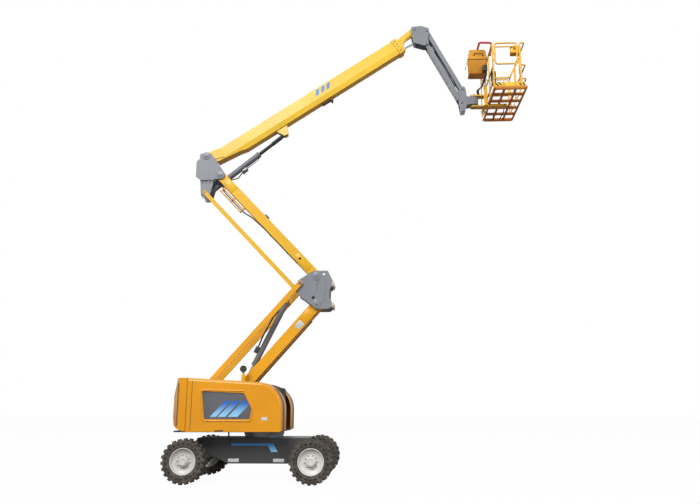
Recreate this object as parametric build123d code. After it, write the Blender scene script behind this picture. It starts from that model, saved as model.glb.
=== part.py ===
from build123d import *
import math
import os

# Articulating boom lift, full size, in millimetres.
# +X points from the steered end of the chassis towards the platform, +Z is up.
# The origin is on the ground, on the centreline, midway between the two axles.
# The booms stand as they are raised at rest: tower half up, main boom up, jib hanging down.

# Wheels, axles and steering
WHEELBASE = 2650
OVERALL_WIDTH = 2490
TYRE_DIAMETER = 914
TYRE_WIDTH = 356
LUG_HEIGHT = 32
LUG_COUNT = 18
LUG_SHARE = 0.92
LUG_GROOVE = 16
TYRE_BEAD_WIDTH = 296
RIM_SEAT_DIAMETER = 508
RIM_FLANGE_DIAMETER = 548
RIM_FLANGE_THICK = 16
RIM_WALL = 14
RIM_DISC_OFFSET = 52
HUB_DIAMETER = 216
HUB_NOSE_DIAMETER = 120
HUB_NOSE_LENGTH = 60
SPINDLE_DIAMETER = 90
SPINDLE_REACH = 40
DRIVE_HOUSING_DIAMETER = 220
AXLE_DEPTH = 200
AXLE_HEIGHT = 210
KINGPIN_INSET = 267
KINGPIN_DIAMETER = 60
FORK_LUG_THICK = 40
KNUCKLE_HEIGHT = 200
STEER_ARM_LENGTH = 190
STEER_ARM_THICK = 40
STEER_CYLINDER_DIAMETER = 80
STEER_CYLINDER_LENGTH = 620
STEER_CYLINDER_OFFSET = 170

# Chassis and slewing ring
CHASSIS_WIDTH = 1100
CHASSIS_TOP = 905
CHASSIS_BOTTOM = 374
CHASSIS_PLATE = 20
CHASSIS_CUT_X = 547
CHASSIS_CUT_HEIGHT = 138
CHASSIS_CUT_RUN = 250
TIE_EYE_DIAMETER = 60
TIE_EYE_PLATE = 30
TIE_EYE_REACH = 60
SLEW_X = 150
SLEW_RING_DIAMETER = 860
SLEW_RING_BORE = 620
SLEW_RING_HEIGHT = 130
SLEW_LOCK_X = -530
SLEW_LOCK_WIDTH = 70

# Turntable, hoods and counterweight
DECK_THICK = 30
DECK_CORNER = 60
DECK_HALF_WIDTH = 940
DECK_FRONT = 640
HOOD_FRONT = 690
HOOD_REAR = -1371
HOOD_BOTTOM = 1045
HOOD_TOP_REAR = 2168
HOOD_TOP_FRONT = 2078
HOOD_NOSE_X = 150
HOOD_HALF_WIDTH = 1020
HOOD_INNER = 400
HOOD_SHELL = 14
HOOD_EDGE_RADIUS = 70
HOOD_HINGE_Y = 420
HOOD_HINGE_DROP = 36
HOOD_HINGE_DIAMETER = 26
HOOD_HINGE_MARGIN = 200
PANEL_REAR_INSET = 325
PANEL_NOSE_INSET = 122
PANEL_TOP_INSET = 235
PANEL_LOW_INSET = 259
PANEL_DEPTH = 26
PANEL_THICK = 10
BAND_INNER = 700
BAND_OUTER = 930
BAND_START = 330
WALL_Y = 375
WALL_THICK = 12
WALL_TOP = 1990
WALL_FRONT = 560
SEAM = 10
COUNTERWEIGHT_REAR = -1780
COUNTERWEIGHT_CORNER = -1570
COUNTERWEIGHT_SHOULDER = 560
COUNTERWEIGHT_NOTCH_X = -1650
COUNTERWEIGHT_NOTCH_HALF = 372
COUNTERWEIGHT_NOTCH_Z = 1300
POWER_PACK_LENGTH = 1000
POWER_PACK_WIDTH = 400
POWER_PACK_HEIGHT = 600
TANK_LENGTH = 1150
TANK_WIDTH = 420
TANK_HEIGHT = 640
BEACON_X = -300
BEACON_Z = 2390
BEACON_DIAMETER = 130
BEACON_STAND = 44

# Tower: two parallelograms, one above the other
FOOT_X = -985
FOOT_Z = 1270
LOWER_RISER_LENGTH = 3470
LOWER_RISER_ANGLE = 48.5
UPPER_RISER_LENGTH = 3478
UPPER_RISER_ANGLE = 46.7
LOWER_LINK_OFFSET = (-380, 487)
UPPER_LINK_OFFSET = (-370, -430)
KNUCKLE_PIN_RISE = 656
BOOM_PIVOT_OFFSET = (-374, 503)
RISER_INNER = 110
RISER_OUTER = 190
LOWER_RISER_DEPTH = 240
UPPER_RISER_DEPTH = 220
RISER_WALL = 10
RISER_PIN_DIAMETER = 90
RISER_BOSS_DIAMETER = 150
LOWER_LINK_INNER = 280
LOWER_LINK_OUTER = 330
LOWER_LINK_DEPTH = 116
UPPER_LINK_INNER = 200
UPPER_LINK_OUTER = 235
UPPER_LINK_DEPTH = 96
LINK_PIN_DIAMETER = 60
LOWER_PLATE_INNER = 245
LOWER_PLATE_OUTER = 270
UPPER_PLATE_INNER = 200
UPPER_PLATE_OUTER = 225
UPPER_LUG_INNER = 165
UPPER_LUG_OUTER = 190
SIDE_CLEARANCE = 5
PIN_CLEARANCE = 0.3

# Main boom
BOOM_ANGLE = 33.4
BOOM_WIDTH = 270
BOOM_BELLY_WIDTH = 214
BOOM_TOP = 30
BOOM_BOTTOM = -360
BOOM_CREASE = -235
BOOM_WALL = 10
BOOM_REAR = 150
BOOM_TAPER = [(150, -240), (760, -312), (950, -360)]
BOOM_MOUTH = 5630
BOOM_COLLAR = 130
BOOM_COLLAR_THICK = 16
TIP_REACH = 560
BOOM_PIN_DIAMETER = 100
BOOM_EAR_DIAMETER = 210
FLY_GAP = 12
FLY_REAR = 980
WEAR_PAD_LENGTH = 120
FLY_NOSE_GAP = 60
FLY_CHEEK_INNER = 62
FLY_CHEEK_OUTER = 86
TIP_PIN_DIAMETER = 70
TIP_EAR_DIAMETER = 150
BRACKET_ALONG = 1944
BRACKET_DROP = 525
BRACKET_INNER = 56
BRACKET_OUTER = 80
BRACKET_LENGTH = 320

# Jib
JIB_LENGTH = 1842
JIB_ANGLE = -63.35
JIB_LINK_TOP = (325, -50)
JIB_BOOM_TOP = (310, -408)
HEAD_INNER = 96
HEAD_OUTER = 120
JIB_PIN_DIAMETER = 50
JIB_BOOM_INNER = 78
JIB_BOOM_OUTER = 90
JIB_BOOM_DEPTH = 112
JIB_LINK_INNER = 60
JIB_LINK_OUTER = 72
JIB_LINK_DEPTH = 100
JIB_WEB = 10
ROTATOR_REACH = 294
ROTATOR_DIAMETER = 170
ROTATOR_LOW = -70
ROTATOR_HIGH = 170
ROTATOR_SHAFT = 70

# Platform
PLATFORM_LENGTH = 1830
PLATFORM_DEPTH = 790
PLATFORM_REACH = 355
FLOOR_TUBE = 50
FLOOR_ROWS = 5
FLOOR_COLUMNS = 3
FLOOR_BAR = 40
FLOOR_BAR_HEIGHT = 34
FLOOR_BAR_PROUD = 4
FLOOR_DROP = 45
RAIL_HEIGHT = 1130
MID_RAIL_HEIGHT = 550
LOW_RAIL_HEIGHT = 190
RAIL_DIAMETER = 38
POST_DIAMETER = 42
RAIL_POST_INSET = 175
TOE_HEIGHT = 120
TOE_THICK = 6
GATE_INSET = 48
GATE_STILE = 32
GATE_PIN = 16
GATE_GAP = 8
FORK_ARM_THICK = 30
FORK_ARM_WIDTH = 180
FORK_GAP = 5
MAST_INNER = 250
MAST_DEPTH = 90
MAST_HALF_WIDTH = 140
MAST_TOP = 470
UNDER_ARM_LENGTH = 480
CONSOLE_REACH = -20
CONSOLE_HALF_WIDTH = 250
CONSOLE_LOW = 760
CONSOLE_HIGH = 1300
CONSOLE_SLOPE = 190
CONSOLE_WALL = 8
SAFETY_BAR_HEIGHT = 1500
SAFETY_BAR_DIAMETER = 60
SAFETY_BAR_LENGTH = 760

# Hydraulic cylinders
TOWER_CYLINDER_FOOT = 850
TOWER_CYLINDER_HEAD = 2950
TOWER_BARREL_DIAMETER = 130
TOWER_ROD_DIAMETER = 80
TOWER_BARREL_LENGTH = 1650
TOWER_ROD_INSIDE = 800
LIFT_BARREL_DIAMETER = 140
LIFT_ROD_DIAMETER = 85
LIFT_BARREL_LENGTH = 1640
LIFT_ROD_INSIDE = 900
JIB_BARREL_DIAMETER = 76
JIB_ROD_DIAMETER = 44
JIB_BARREL_LENGTH = 1080
JIB_ROD_INSIDE = 860
LEVEL_FOOT_BACK = 630
LEVEL_FOOT_DROP = 190
LEVEL_HEAD = (30, -330)
LEVEL_BARREL_DIAMETER = 84
LEVEL_ROD_DIAMETER = 46
LEVEL_BARREL_LENGTH = 560
LEVEL_ROD_INSIDE = 250
EYE_WALL = 24
BORE_START = 60
ROD_CLEARANCE = 0.3
HEAD_LUG_GAP = 6

# Places that follow from the sizes above
WHEEL_X = WHEELBASE / 2
WHEEL_Y = (OVERALL_WIDTH - TYRE_WIDTH) / 2
WHEEL_Z = TYRE_DIAMETER / 2
KINGPIN_Y = WHEEL_Y - KINGPIN_INSET
FIXED_AXLE_HALF = KINGPIN_Y - KINGPIN_DIAMETER * 2 / 3
BOOM_TIP = BOOM_MOUTH + TIP_REACH
FLY_NOSE_START = BOOM_MOUTH + FLY_NOSE_GAP
LEVEL_FOOT_ALONG = BOOM_MOUTH - LEVEL_FOOT_BACK
CHASSIS_END = WHEEL_X - AXLE_DEPTH / 2
DECK_BOTTOM = CHASSIS_TOP + SLEW_RING_HEIGHT
DECK_TOP = DECK_BOTTOM + DECK_THICK


def along(point, length, angle):
    """The point that lies so far from another, in the XZ plane."""
    turn = math.radians(angle)
    return (point[0] + length * math.cos(turn), point[1] + length * math.sin(turn))


def shifted(point, offset):
    """A point of the XZ plane, moved by an offset."""
    return (point[0] + offset[0], point[1] + offset[1])


LOWER_FOOT = (FOOT_X, FOOT_Z)
LOWER_LINK_FOOT = shifted(LOWER_FOOT, LOWER_LINK_OFFSET)
LOWER_PIN = along(LOWER_FOOT, LOWER_RISER_LENGTH, LOWER_RISER_ANGLE)
LOWER_LINK_PIN = shifted(LOWER_PIN, LOWER_LINK_OFFSET)
UPPER_FOOT = shifted(LOWER_PIN, (0, KNUCKLE_PIN_RISE))
UPPER_LINK_FOOT = shifted(UPPER_FOOT, UPPER_LINK_OFFSET)
UPPER_PIN = along(UPPER_FOOT, UPPER_RISER_LENGTH, 180 - UPPER_RISER_ANGLE)
UPPER_LINK_PIN = shifted(UPPER_PIN, UPPER_LINK_OFFSET)
BOOM_PIVOT = shifted(UPPER_PIN, BOOM_PIVOT_OFFSET)
BOOM_TIP_PIN = along(BOOM_PIVOT, BOOM_TIP, BOOM_ANGLE)
JIB_LINK_PIN = shifted(BOOM_TIP_PIN, JIB_LINK_TOP)
JIB_BOOM_PIN = shifted(BOOM_TIP_PIN, JIB_BOOM_TOP)
JIB_LINK_END = along(JIB_LINK_PIN, JIB_LENGTH, JIB_ANGLE)
JIB_BOOM_END = along(JIB_BOOM_PIN, JIB_LENGTH, JIB_ANGLE)
ROTATOR_X = JIB_BOOM_END[0] + ROTATOR_REACH
FLOOR_Z = JIB_BOOM_END[1] - FLOOR_DROP
PLATFORM_X = ROTATOR_X + PLATFORM_REACH


def slab(x0, x1, y0, y1, z0, z1):
    """A block between two opposite corners."""
    return Pos((x0 + x1) / 2, (y0 + y1) / 2, (z0 + z1) / 2) * Box(x1 - x0, y1 - y0, z1 - z0)


def plate(face, y0, y1):
    """A face drawn in X and Z, made a plate that reaches from y0 to y1."""
    return Pos(0, y1, 0) * extrude(Plane.XZ * face, amount=y1 - y0)


def outline(points, radius=0):
    """A closed outline with its corners rounded."""
    face = make_face(Polyline(*points, close=True))
    return fillet(face.vertices(), radius) if radius else face


def both_sides(part):
    """A piece and its mirror image across the centreline."""
    return part + mirror(part, about=Plane.XZ)


def bar(x, z, diameter, y0, y1):
    """A round bar across the machine, from y0 to y1."""
    return Pos(x, (y0 + y1) / 2, z) * Rot(90, 0, 0) * Cylinder(diameter / 2, y1 - y0)


def post(x, y, diameter, z0, z1):
    """An upright round bar."""
    return Pos(x, y, (z0 + z1) / 2) * Cylinder(diameter / 2, z1 - z0)


def rod(x0, x1, diameter):
    """A round bar along X on the axis."""
    return Pos((x0 + x1) / 2, 0, 0) * Rot(0, 90, 0) * Cylinder(diameter / 2, x1 - x0)


def at(point, angle=0):
    """The place of a member whose own X axis runs from a pin at this angle."""
    return Pos(point[0], 0, point[1]) * Rot(0, -angle, 0)


def strap(length, depth):
    """The outline of a bar with round ends, from pin to pin along X."""
    return Pos(length / 2, 0) * SlotCenterToCenter(length, depth)


def tyre_block(radius0, y0, radius1, y1):
    """A block on the Y axis with one flat facet for each lug, from one radius to another."""
    sides = 2 * LUG_COUNT
    half_turn = math.pi / sides
    rings = []
    for radius, y in ((radius0, y0), (radius1, y1)):
        reach = radius / math.cos(half_turn)
        turns = [(2 * step + 1) * half_turn for step in range(sides)]
        rings.append([Vector(reach * math.cos(turn), y, reach * math.sin(turn)) for turn in turns])
    first, last = rings
    faces = [Face(Wire.make_polygon(ring, close=True)) for ring in rings]
    for step in range(sides):
        after = (step + 1) % sides
        corners = [first[step], first[after], last[after], last[step]]
        faces.append(Face(Wire.make_polygon(corners, close=True)))
    return Solid(Shell(faces)).fix()


def tyre():
    """A solid tyre on the Y axis: a faceted carcass with lugs that alternate between two rows."""
    top = TYRE_DIAMETER / 2
    crown = top - LUG_HEIGHT
    bead = RIM_SEAT_DIAMETER / 2
    half = TYRE_WIDTH / 2
    shoulder = half - 2 * LUG_GROOVE
    wall = crown - 0.2 * (crown - bead)
    ridge = bead + 0.35 * (crown - bead)
    groove = RIM_FLANGE_DIAMETER / 2 + LUG_GROOVE / 2
    part = Part() + tyre_block(crown, -shoulder, crown, shoulder)
    for way in (-1, 1):
        part += tyre_block(crown, way * shoulder, wall, way * (half - 6))
        part += tyre_block(wall, way * (half - 6), ridge, way * half)
        part -= tyre_block(ridge - LUG_GROOVE / 4, way * (half + 1), groove, way * TYRE_BEAD_WIDTH / 2)
    part -= tyre_block(bead, -TYRE_WIDTH, bead, TYRE_WIDTH)
    pitch = math.pi / LUG_COUNT
    width = LUG_SHARE * 2 * crown * math.tan(pitch / 2)
    for step in range(2 * LUG_COUNT):
        row = 1 if step % 2 == 0 else -1
        middle = row * (shoulder + LUG_GROOVE) / 2
        block = Pos(top - LUG_HEIGHT, middle, 0) * Box(2 * LUG_HEIGHT, shoulder - LUG_GROOVE, width)
        part += Rot(0, math.degrees(pitch * step), 0) * block
    return part


def rim():
    """A dished wheel on the Y axis, its dish and hub facing +Y."""
    seat = RIM_SEAT_DIAMETER / 2 - PIN_CLEARANCE
    flange = RIM_FLANGE_DIAMETER / 2
    half = TYRE_BEAD_WIDTH / 2 + PIN_CLEARANCE
    lip = half + RIM_FLANGE_THICK
    hub = HUB_DIAMETER / 2
    nose = HUB_NOSE_DIAMETER / 2
    disc = RIM_DISC_OFFSET
    bore = SPINDLE_DIAMETER / 2 + PIN_CLEARANCE
    reach = SPINDLE_REACH + PIN_CLEARANCE
    profile = [
        (flange, -lip), (flange, -half), (seat, -half), (seat, half), (flange, half), (flange, lip),
        (seat - RIM_WALL, lip - RIM_WALL), (seat - RIM_WALL, disc + 3 * RIM_WALL),
        (hub + RIM_WALL, disc + RIM_WALL), (hub, disc + 4 * RIM_WALL),
        (nose, disc + 4 * RIM_WALL), (nose, disc + 4 * RIM_WALL + HUB_NOSE_LENGTH),
        (0, disc + 4 * RIM_WALL + HUB_NOSE_LENGTH), (0, reach), (bore, reach), (bore, -disc),
        (hub, -disc), (hub, disc), (seat - RIM_WALL, disc + RIM_WALL), (seat - RIM_WALL, -lip + RIM_WALL),
    ]
    return revolve(make_face(Polyline(*profile, close=True)), Axis.Y)


def axle_end(side):
    """The drive housing and spindle that carry a wheel, from the kingpin line outwards."""
    inner = WHEEL_Y - RIM_DISC_OFFSET - SIDE_CLEARANCE
    start = KINGPIN_Y + KINGPIN_DIAMETER
    housing = bar(0, 0, DRIVE_HOUSING_DIAMETER, start, inner)
    spindle = bar(0, 0, SPINDLE_DIAMETER, inner, WHEEL_Y + SPINDLE_REACH)
    whole = housing + spindle
    return whole if side > 0 else mirror(whole, about=Plane.XZ)


def fixed_axle():
    """The rigid axle at the platform end: a box beam with a drive housing at each end."""
    beam = Box(AXLE_DEPTH, 2 * FIXED_AXLE_HALF, AXLE_HEIGHT)
    beam = fillet(beam.edges().filter_by(Axis.Y), AXLE_HEIGHT / 10)
    neck = bar(0, 0, DRIVE_HOUSING_DIAMETER - 30, FIXED_AXLE_HALF, KINGPIN_Y + KINGPIN_DIAMETER)
    whole = beam + both_sides(neck) + axle_end(1) + axle_end(-1)
    return Pos(WHEEL_X, 0, WHEEL_Z) * whole


def steer_axle():
    """The steered axle: a box beam with a fork and a kingpin at each end."""
    gap = KNUCKLE_HEIGHT / 2 + SIDE_CLEARANCE
    fork_inner = KINGPIN_Y - KINGPIN_DIAMETER * 1.8
    beam = Box(AXLE_DEPTH, 2 * fork_inner, AXLE_HEIGHT)
    beam = fillet(beam.edges().filter_by(Axis.Y), AXLE_HEIGHT / 10)
    lug_face = Rectangle(2 * KINGPIN_DIAMETER, KINGPIN_DIAMETER * 2.6, align=(Align.CENTER, Align.MAX))
    lug_face = Pos(0, KINGPIN_Y) * (lug_face + Circle(KINGPIN_DIAMETER))
    upper = Pos(0, 0, gap) * extrude(lug_face, amount=FORK_LUG_THICK)
    lower = Pos(0, 0, -gap - FORK_LUG_THICK) * extrude(lug_face, amount=FORK_LUG_THICK)
    tall = 2 * (gap + FORK_LUG_THICK)
    web = slab(-KINGPIN_DIAMETER, KINGPIN_DIAMETER, fork_inner - 60, fork_inner, -tall / 2, tall / 2)
    pin = post(0, KINGPIN_Y, KINGPIN_DIAMETER, -tall / 2, tall / 2)
    whole = beam + both_sides(upper + lower + web + pin)
    return Pos(-WHEEL_X, 0, WHEEL_Z) * whole


def steer_knuckle(side):
    """One steering knuckle: a block on the kingpin, the drive housing and a steering arm."""
    body = post(0, KINGPIN_Y, 2.1 * KINGPIN_DIAMETER, -KNUCKLE_HEIGHT / 2, KNUCKLE_HEIGHT / 2)
    neck = slab(-KINGPIN_DIAMETER, KINGPIN_DIAMETER, KINGPIN_Y, KINGPIN_Y + KINGPIN_DIAMETER,
                -KNUCKLE_HEIGHT / 2, KNUCKLE_HEIGHT / 2)
    arm = slab(0, STEER_ARM_LENGTH, KINGPIN_Y - STEER_ARM_THICK / 2, KINGPIN_Y + STEER_ARM_THICK / 2,
               -STEER_ARM_THICK / 2, STEER_ARM_THICK / 2)
    bore = post(0, KINGPIN_Y, KINGPIN_DIAMETER + 2 * PIN_CLEARANCE, -KNUCKLE_HEIGHT, KNUCKLE_HEIGHT)
    whole = body + neck + arm - bore
    whole = whole if side > 0 else mirror(whole, about=Plane.XZ)
    return Pos(-WHEEL_X, 0, WHEEL_Z) * (whole + axle_end(side))


def steer_cylinder():
    """The double-ended steering cylinder that lies along the steered axle."""
    half = STEER_CYLINDER_LENGTH / 2
    x = -WHEEL_X + STEER_CYLINDER_OFFSET
    body = bar(x, WHEEL_Z, STEER_CYLINDER_DIAMETER, -half, half)
    stems = bar(x, WHEEL_Z, STEER_CYLINDER_DIAMETER / 2, -half - 140, half + 140)
    foot = slab(-WHEEL_X + AXLE_DEPTH / 2, x, -60, 60, WHEEL_Z - 40, WHEEL_Z + 40)
    return body + stems + foot


def chassis_frame():
    """The welded tub between the axles, cut away beneath at its ends, with a lashing eye at each corner."""
    cut_top = CHASSIS_BOTTOM + CHASSIS_CUT_HEIGHT
    corners = [
        (-CHASSIS_END, CHASSIS_TOP), (CHASSIS_END, CHASSIS_TOP), (CHASSIS_END, cut_top),
        (CHASSIS_END - CHASSIS_CUT_RUN, CHASSIS_BOTTOM), (-CHASSIS_CUT_X, CHASSIS_BOTTOM),
        (-CHASSIS_CUT_X - CHASSIS_CUT_RUN, cut_top), (-CHASSIS_END, cut_top),
    ]
    face = outline(corners)
    half = CHASSIS_WIDTH / 2
    shell = plate(face, -half, half)
    inner = offset(face, -CHASSIS_PLATE, kind=Kind.INTERSECTION)
    inside = plate(inner, CHASSIS_PLATE - half, half - CHASSIS_PLATE)
    lid = slab(-2 * CHASSIS_END, 2 * CHASSIS_END, -half, half, CHASSIS_TOP - CHASSIS_PLATE,
               CHASSIS_TOP + 1)
    window = slab(-2 * CHASSIS_END, 2 * CHASSIS_END, CHASSIS_PLATE - half, half - CHASSIS_PLATE,
                  cut_top + 60 + AXLE_HEIGHT / 2, CHASSIS_TOP)
    tub = shell - inside - lid - window
    eye_z = CHASSIS_TOP - 1.6 * TIE_EYE_DIAMETER
    middle = half + TIE_EYE_REACH
    lug = slab(0, TIE_EYE_PLATE, half - CHASSIS_PLATE, middle, eye_z - TIE_EYE_REACH,
               eye_z + TIE_EYE_REACH)
    hole = Pos(TIE_EYE_PLATE / 2, middle, eye_z) * Rot(0, 90, 0)
    lug += hole * Cylinder(0.85 * TIE_EYE_DIAMETER, TIE_EYE_PLATE)
    lug -= hole * Cylinder(TIE_EYE_DIAMETER / 2, 2 * TIE_EYE_PLATE)
    for x in (CHASSIS_END - TIE_EYE_PLATE, -CHASSIS_END):
        tub += both_sides(Pos(x, 0, 0) * lug)
    return tub


def chassis_deck():
    """The top plate of the chassis, with the round well beneath the slewing ring."""
    half = CHASSIS_WIDTH / 2
    lid = slab(-CHASSIS_END, CHASSIS_END, -half, half, CHASSIS_TOP - CHASSIS_PLATE, CHASSIS_TOP)
    return lid - post(SLEW_X, 0, SLEW_RING_BORE, CHASSIS_TOP - 2 * CHASSIS_PLATE,
                      CHASSIS_TOP + CHASSIS_PLATE)


def slew_lock():
    """The locking post that stands on the near side of the chassis."""
    half = CHASSIS_WIDTH / 2
    wide = SLEW_LOCK_WIDTH / 2
    shoe = slab(SLEW_LOCK_X - wide, SLEW_LOCK_X + wide, -half - 40, -half, CHASSIS_TOP - 110,
                CHASSIS_TOP - 10)
    stem = post(SLEW_LOCK_X, -half - 20, 0.5 * SLEW_LOCK_WIDTH, CHASSIS_TOP - 10,
                DECK_BOTTOM - 2 * SIDE_CLEARANCE)
    return shoe + stem


def slew_ring(lower):
    """Half of the slewing ring: the lower race on the chassis or the upper one on the turntable."""
    middle = CHASSIS_TOP + SLEW_RING_HEIGHT / 2
    z0, z1 = (CHASSIS_TOP, middle) if lower else (middle + PIN_CLEARANCE, DECK_BOTTOM)
    grow = 0 if lower else 30
    ring = post(SLEW_X, 0, SLEW_RING_DIAMETER + grow, z0, z1)
    return ring - post(SLEW_X, 0, SLEW_RING_BORE, z0 - 1, z1 + 1)


def turntable_frame():
    """The deck, the two upright plates that carry the tower, and the walls beside the tower slot."""
    deck = slab(COUNTERWEIGHT_NOTCH_X, DECK_FRONT, -DECK_HALF_WIDTH, DECK_HALF_WIDTH, DECK_BOTTOM,
                DECK_TOP)
    deck = fillet(deck.edges().filter_by(Axis.Z), DECK_CORNER)
    foot_x, foot_z = LOWER_FOOT
    link_x, link_z = LOWER_LINK_FOOT
    ear = RISER_BOSS_DIAMETER / 2
    sides = [
        (COUNTERWEIGHT_NOTCH_X, DECK_TOP), (foot_x + 4 * ear, DECK_TOP),
        (foot_x + 1.5 * ear, foot_z + 1.5 * ear),
        (link_x + 1.4 * ear, link_z + 1.2 * ear), (link_x - 1.2 * ear, link_z + 1.2 * ear),
        (COUNTERWEIGHT_NOTCH_X, link_z - 3 * ear),
    ]
    upright = plate(outline(sides), LOWER_PLATE_INNER, LOWER_PLATE_OUTER)
    stub = bar(link_x, link_z, LINK_PIN_DIAMETER, LOWER_PLATE_INNER, LOWER_LINK_OUTER + SIDE_CLEARANCE)
    wall = slab(HOOD_REAR, WALL_FRONT, WALL_Y, WALL_Y + WALL_THICK, DECK_TOP, WALL_TOP)
    wall = fillet(wall.edges().filter_by(Axis.Y).group_by(Axis.Z)[-1], 5 * WALL_THICK)
    pin = bar(foot_x, foot_z, RISER_PIN_DIAMETER, -LOWER_PLATE_OUTER, LOWER_PLATE_OUTER)
    return deck + both_sides(upright + stub + wall) + pin + hinge_tubes()


def hood_top(x):
    """The height of a hood's sloping top at this place."""
    share = (x - HOOD_REAR) / (HOOD_NOSE_X - HOOD_REAR)
    return HOOD_TOP_REAR + share * (HOOD_TOP_FRONT - HOOD_TOP_REAR)


def hinge_line(diameter, margin):
    """A round bar along a hood's hinge, which runs under the top and parallel to it."""
    x0 = HOOD_REAR + margin
    x1 = HOOD_NOSE_X - margin
    rise = hood_top(x1) - hood_top(x0)
    place = Pos((x0 + x1) / 2, HOOD_HINGE_Y, hood_top((x0 + x1) / 2) - HOOD_HINGE_DROP)
    tilt = math.degrees(math.atan2(rise, x1 - x0))
    return place * Rot(0, 90 - tilt, 0) * Cylinder(diameter / 2, math.hypot(rise, x1 - x0))


def hinge_tubes():
    """The hinge rods beside the slot walls, on which the hoods turn."""
    part = hinge_line(HOOD_HINGE_DIAMETER, HOOD_HINGE_MARGIN)
    for x in (HOOD_REAR + HOOD_HINGE_MARGIN, HOOD_NOSE_X - HOOD_HINGE_MARGIN):
        z = hood_top(x) - HOOD_HINGE_DROP
        half = HOOD_HINGE_DIAMETER / 2
        part += slab(x - 10, x + 10, WALL_Y, HOOD_HINGE_Y + half, WALL_TOP - 60, z - 2.5 * half)
        part += slab(x - 10, x + 10, HOOD_HINGE_Y - half, HOOD_HINGE_Y + half, WALL_TOP - 60, z)
    return both_sides(part)


def hinge_knuckles():
    """The blocks under a hood's top that ride on the hinge rod."""
    part = None
    for share in (0.25, 0.5, 0.75):
        x = HOOD_REAR + share * (HOOD_NOSE_X - HOOD_REAR)
        half = HOOD_HINGE_DIAMETER
        block = slab(x - 2 * half, x + 2 * half, HOOD_HINGE_Y - half, HOOD_HINGE_Y + half,
                     hood_top(x) - HOOD_HINGE_DROP - half, hood_top(x) - HOOD_SHELL / 2)
        part = block if part is None else part + block
    return part - hinge_line(HOOD_HINGE_DIAMETER + 2 * PIN_CLEARANCE, 0)


def hood_profile(inset):
    """The side outline of a hood: a sloping top that curves down to an upright front."""
    rear = HOOD_REAR + SEAM / 2 + inset
    front = HOOD_FRONT - inset
    top = HOOD_TOP_FRONT - inset
    slope = (HOOD_NOSE_X - rear, HOOD_TOP_FRONT - HOOD_TOP_REAR)
    fall = math.radians(90) + math.atan2(slope[1], slope[0])
    shoulder = top - (front - HOOD_NOSE_X) / math.tan(fall / 2)
    top_line = Polyline((rear, HOOD_BOTTOM), (rear, HOOD_TOP_REAR - inset), (HOOD_NOSE_X, top))
    nose = TangentArc((HOOD_NOSE_X, top), (front, shoulder), tangent=slope)
    base = Polyline((front, shoulder), (front, HOOD_BOTTOM), (rear, HOOD_BOTTOM))
    return make_face(Curve() + [top_line, nose, base])


def rounded_hood(inset, inner):
    """A solid hood block on the +Y side, rounded along its top and front outer edge."""
    body = plate(hood_profile(inset), inner, HOOD_HALF_WIDTH - inset)
    rear = HOOD_REAR + SEAM / 2 + inset
    edges = body.faces().sort_by(Axis.Y)[-1].edges()
    chain = [edge for edge in edges if edge.center().Z > HOOD_BOTTOM + 1 and edge.center().X > rear + 1]
    return fillet(chain, HOOD_EDGE_RADIUS - inset)


def hood_shell():
    """A hollow hood on the +Y side, open beneath and towards the tower slot."""
    body = rounded_hood(0, HOOD_INNER)
    inside = rounded_hood(HOOD_SHELL, HOOD_INNER - 1)
    floor = slab(2 * HOOD_REAR, 2 * HOOD_FRONT, HOOD_INNER - 1, HOOD_HALF_WIDTH - HOOD_SHELL,
                 HOOD_BOTTOM - 1, DECK_TOP + SIDE_CLEARANCE)
    return body - inside - floor


def panel_face(grow):
    """The outline of the recessed panel in a hood's side."""
    rear = HOOD_REAR + PANEL_REAR_INSET
    nose = HOOD_NOSE_X - PANEL_NOSE_INSET
    low = HOOD_BOTTOM + PANEL_LOW_INSET
    top = HOOD_TOP_FRONT - PANEL_TOP_INSET
    corners = [
        (rear, top + 0.04 * (nose - rear)), (nose - 0.16 * (nose - rear), top),
        (nose, low + 0.4 * (top - low)),
        (nose - 0.026 * (nose - rear), low), (rear + 0.07 * (nose - rear), low),
    ]
    return offset(outline(corners, 30), grow) if grow else outline(corners, 30)


def hood(side):
    """One hood with the openings for its side panel and its dark front band."""
    shell = hood_shell()
    pocket = plate(panel_face(0), HOOD_HALF_WIDTH - HOOD_SHELL - 1, HOOD_HALF_WIDTH + 1)
    tray = plate(panel_face(HOOD_SHELL), HOOD_HALF_WIDTH - PANEL_DEPTH, HOOD_HALF_WIDTH - HOOD_SHELL)
    tray -= plate(panel_face(0), HOOD_HALF_WIDTH - PANEL_DEPTH - 1, HOOD_HALF_WIDTH)
    whole = shell - pocket - band_space() + tray + hinge_knuckles()
    return whole if side > 0 else mirror(whole, about=Plane.XZ)


def band_space():
    """The room that the front band takes out of a hood."""
    return slab(BAND_START, 2 * HOOD_FRONT, BAND_INNER, BAND_OUTER, HOOD_BOTTOM - 1, HOOD_TOP_REAR)


def hood_panel(side):
    """The dark panel that lies in the recess of a hood's side."""
    low = HOOD_HALF_WIDTH - PANEL_DEPTH
    whole = plate(panel_face(0), low, low + PANEL_THICK)
    return whole if side > 0 else mirror(whole, about=Plane.XZ)


def hood_band(side):
    """The dark band down the front of a hood."""
    whole = hood_shell() & band_space()
    return whole if side > 0 else mirror(whole, about=Plane.XZ)


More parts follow.
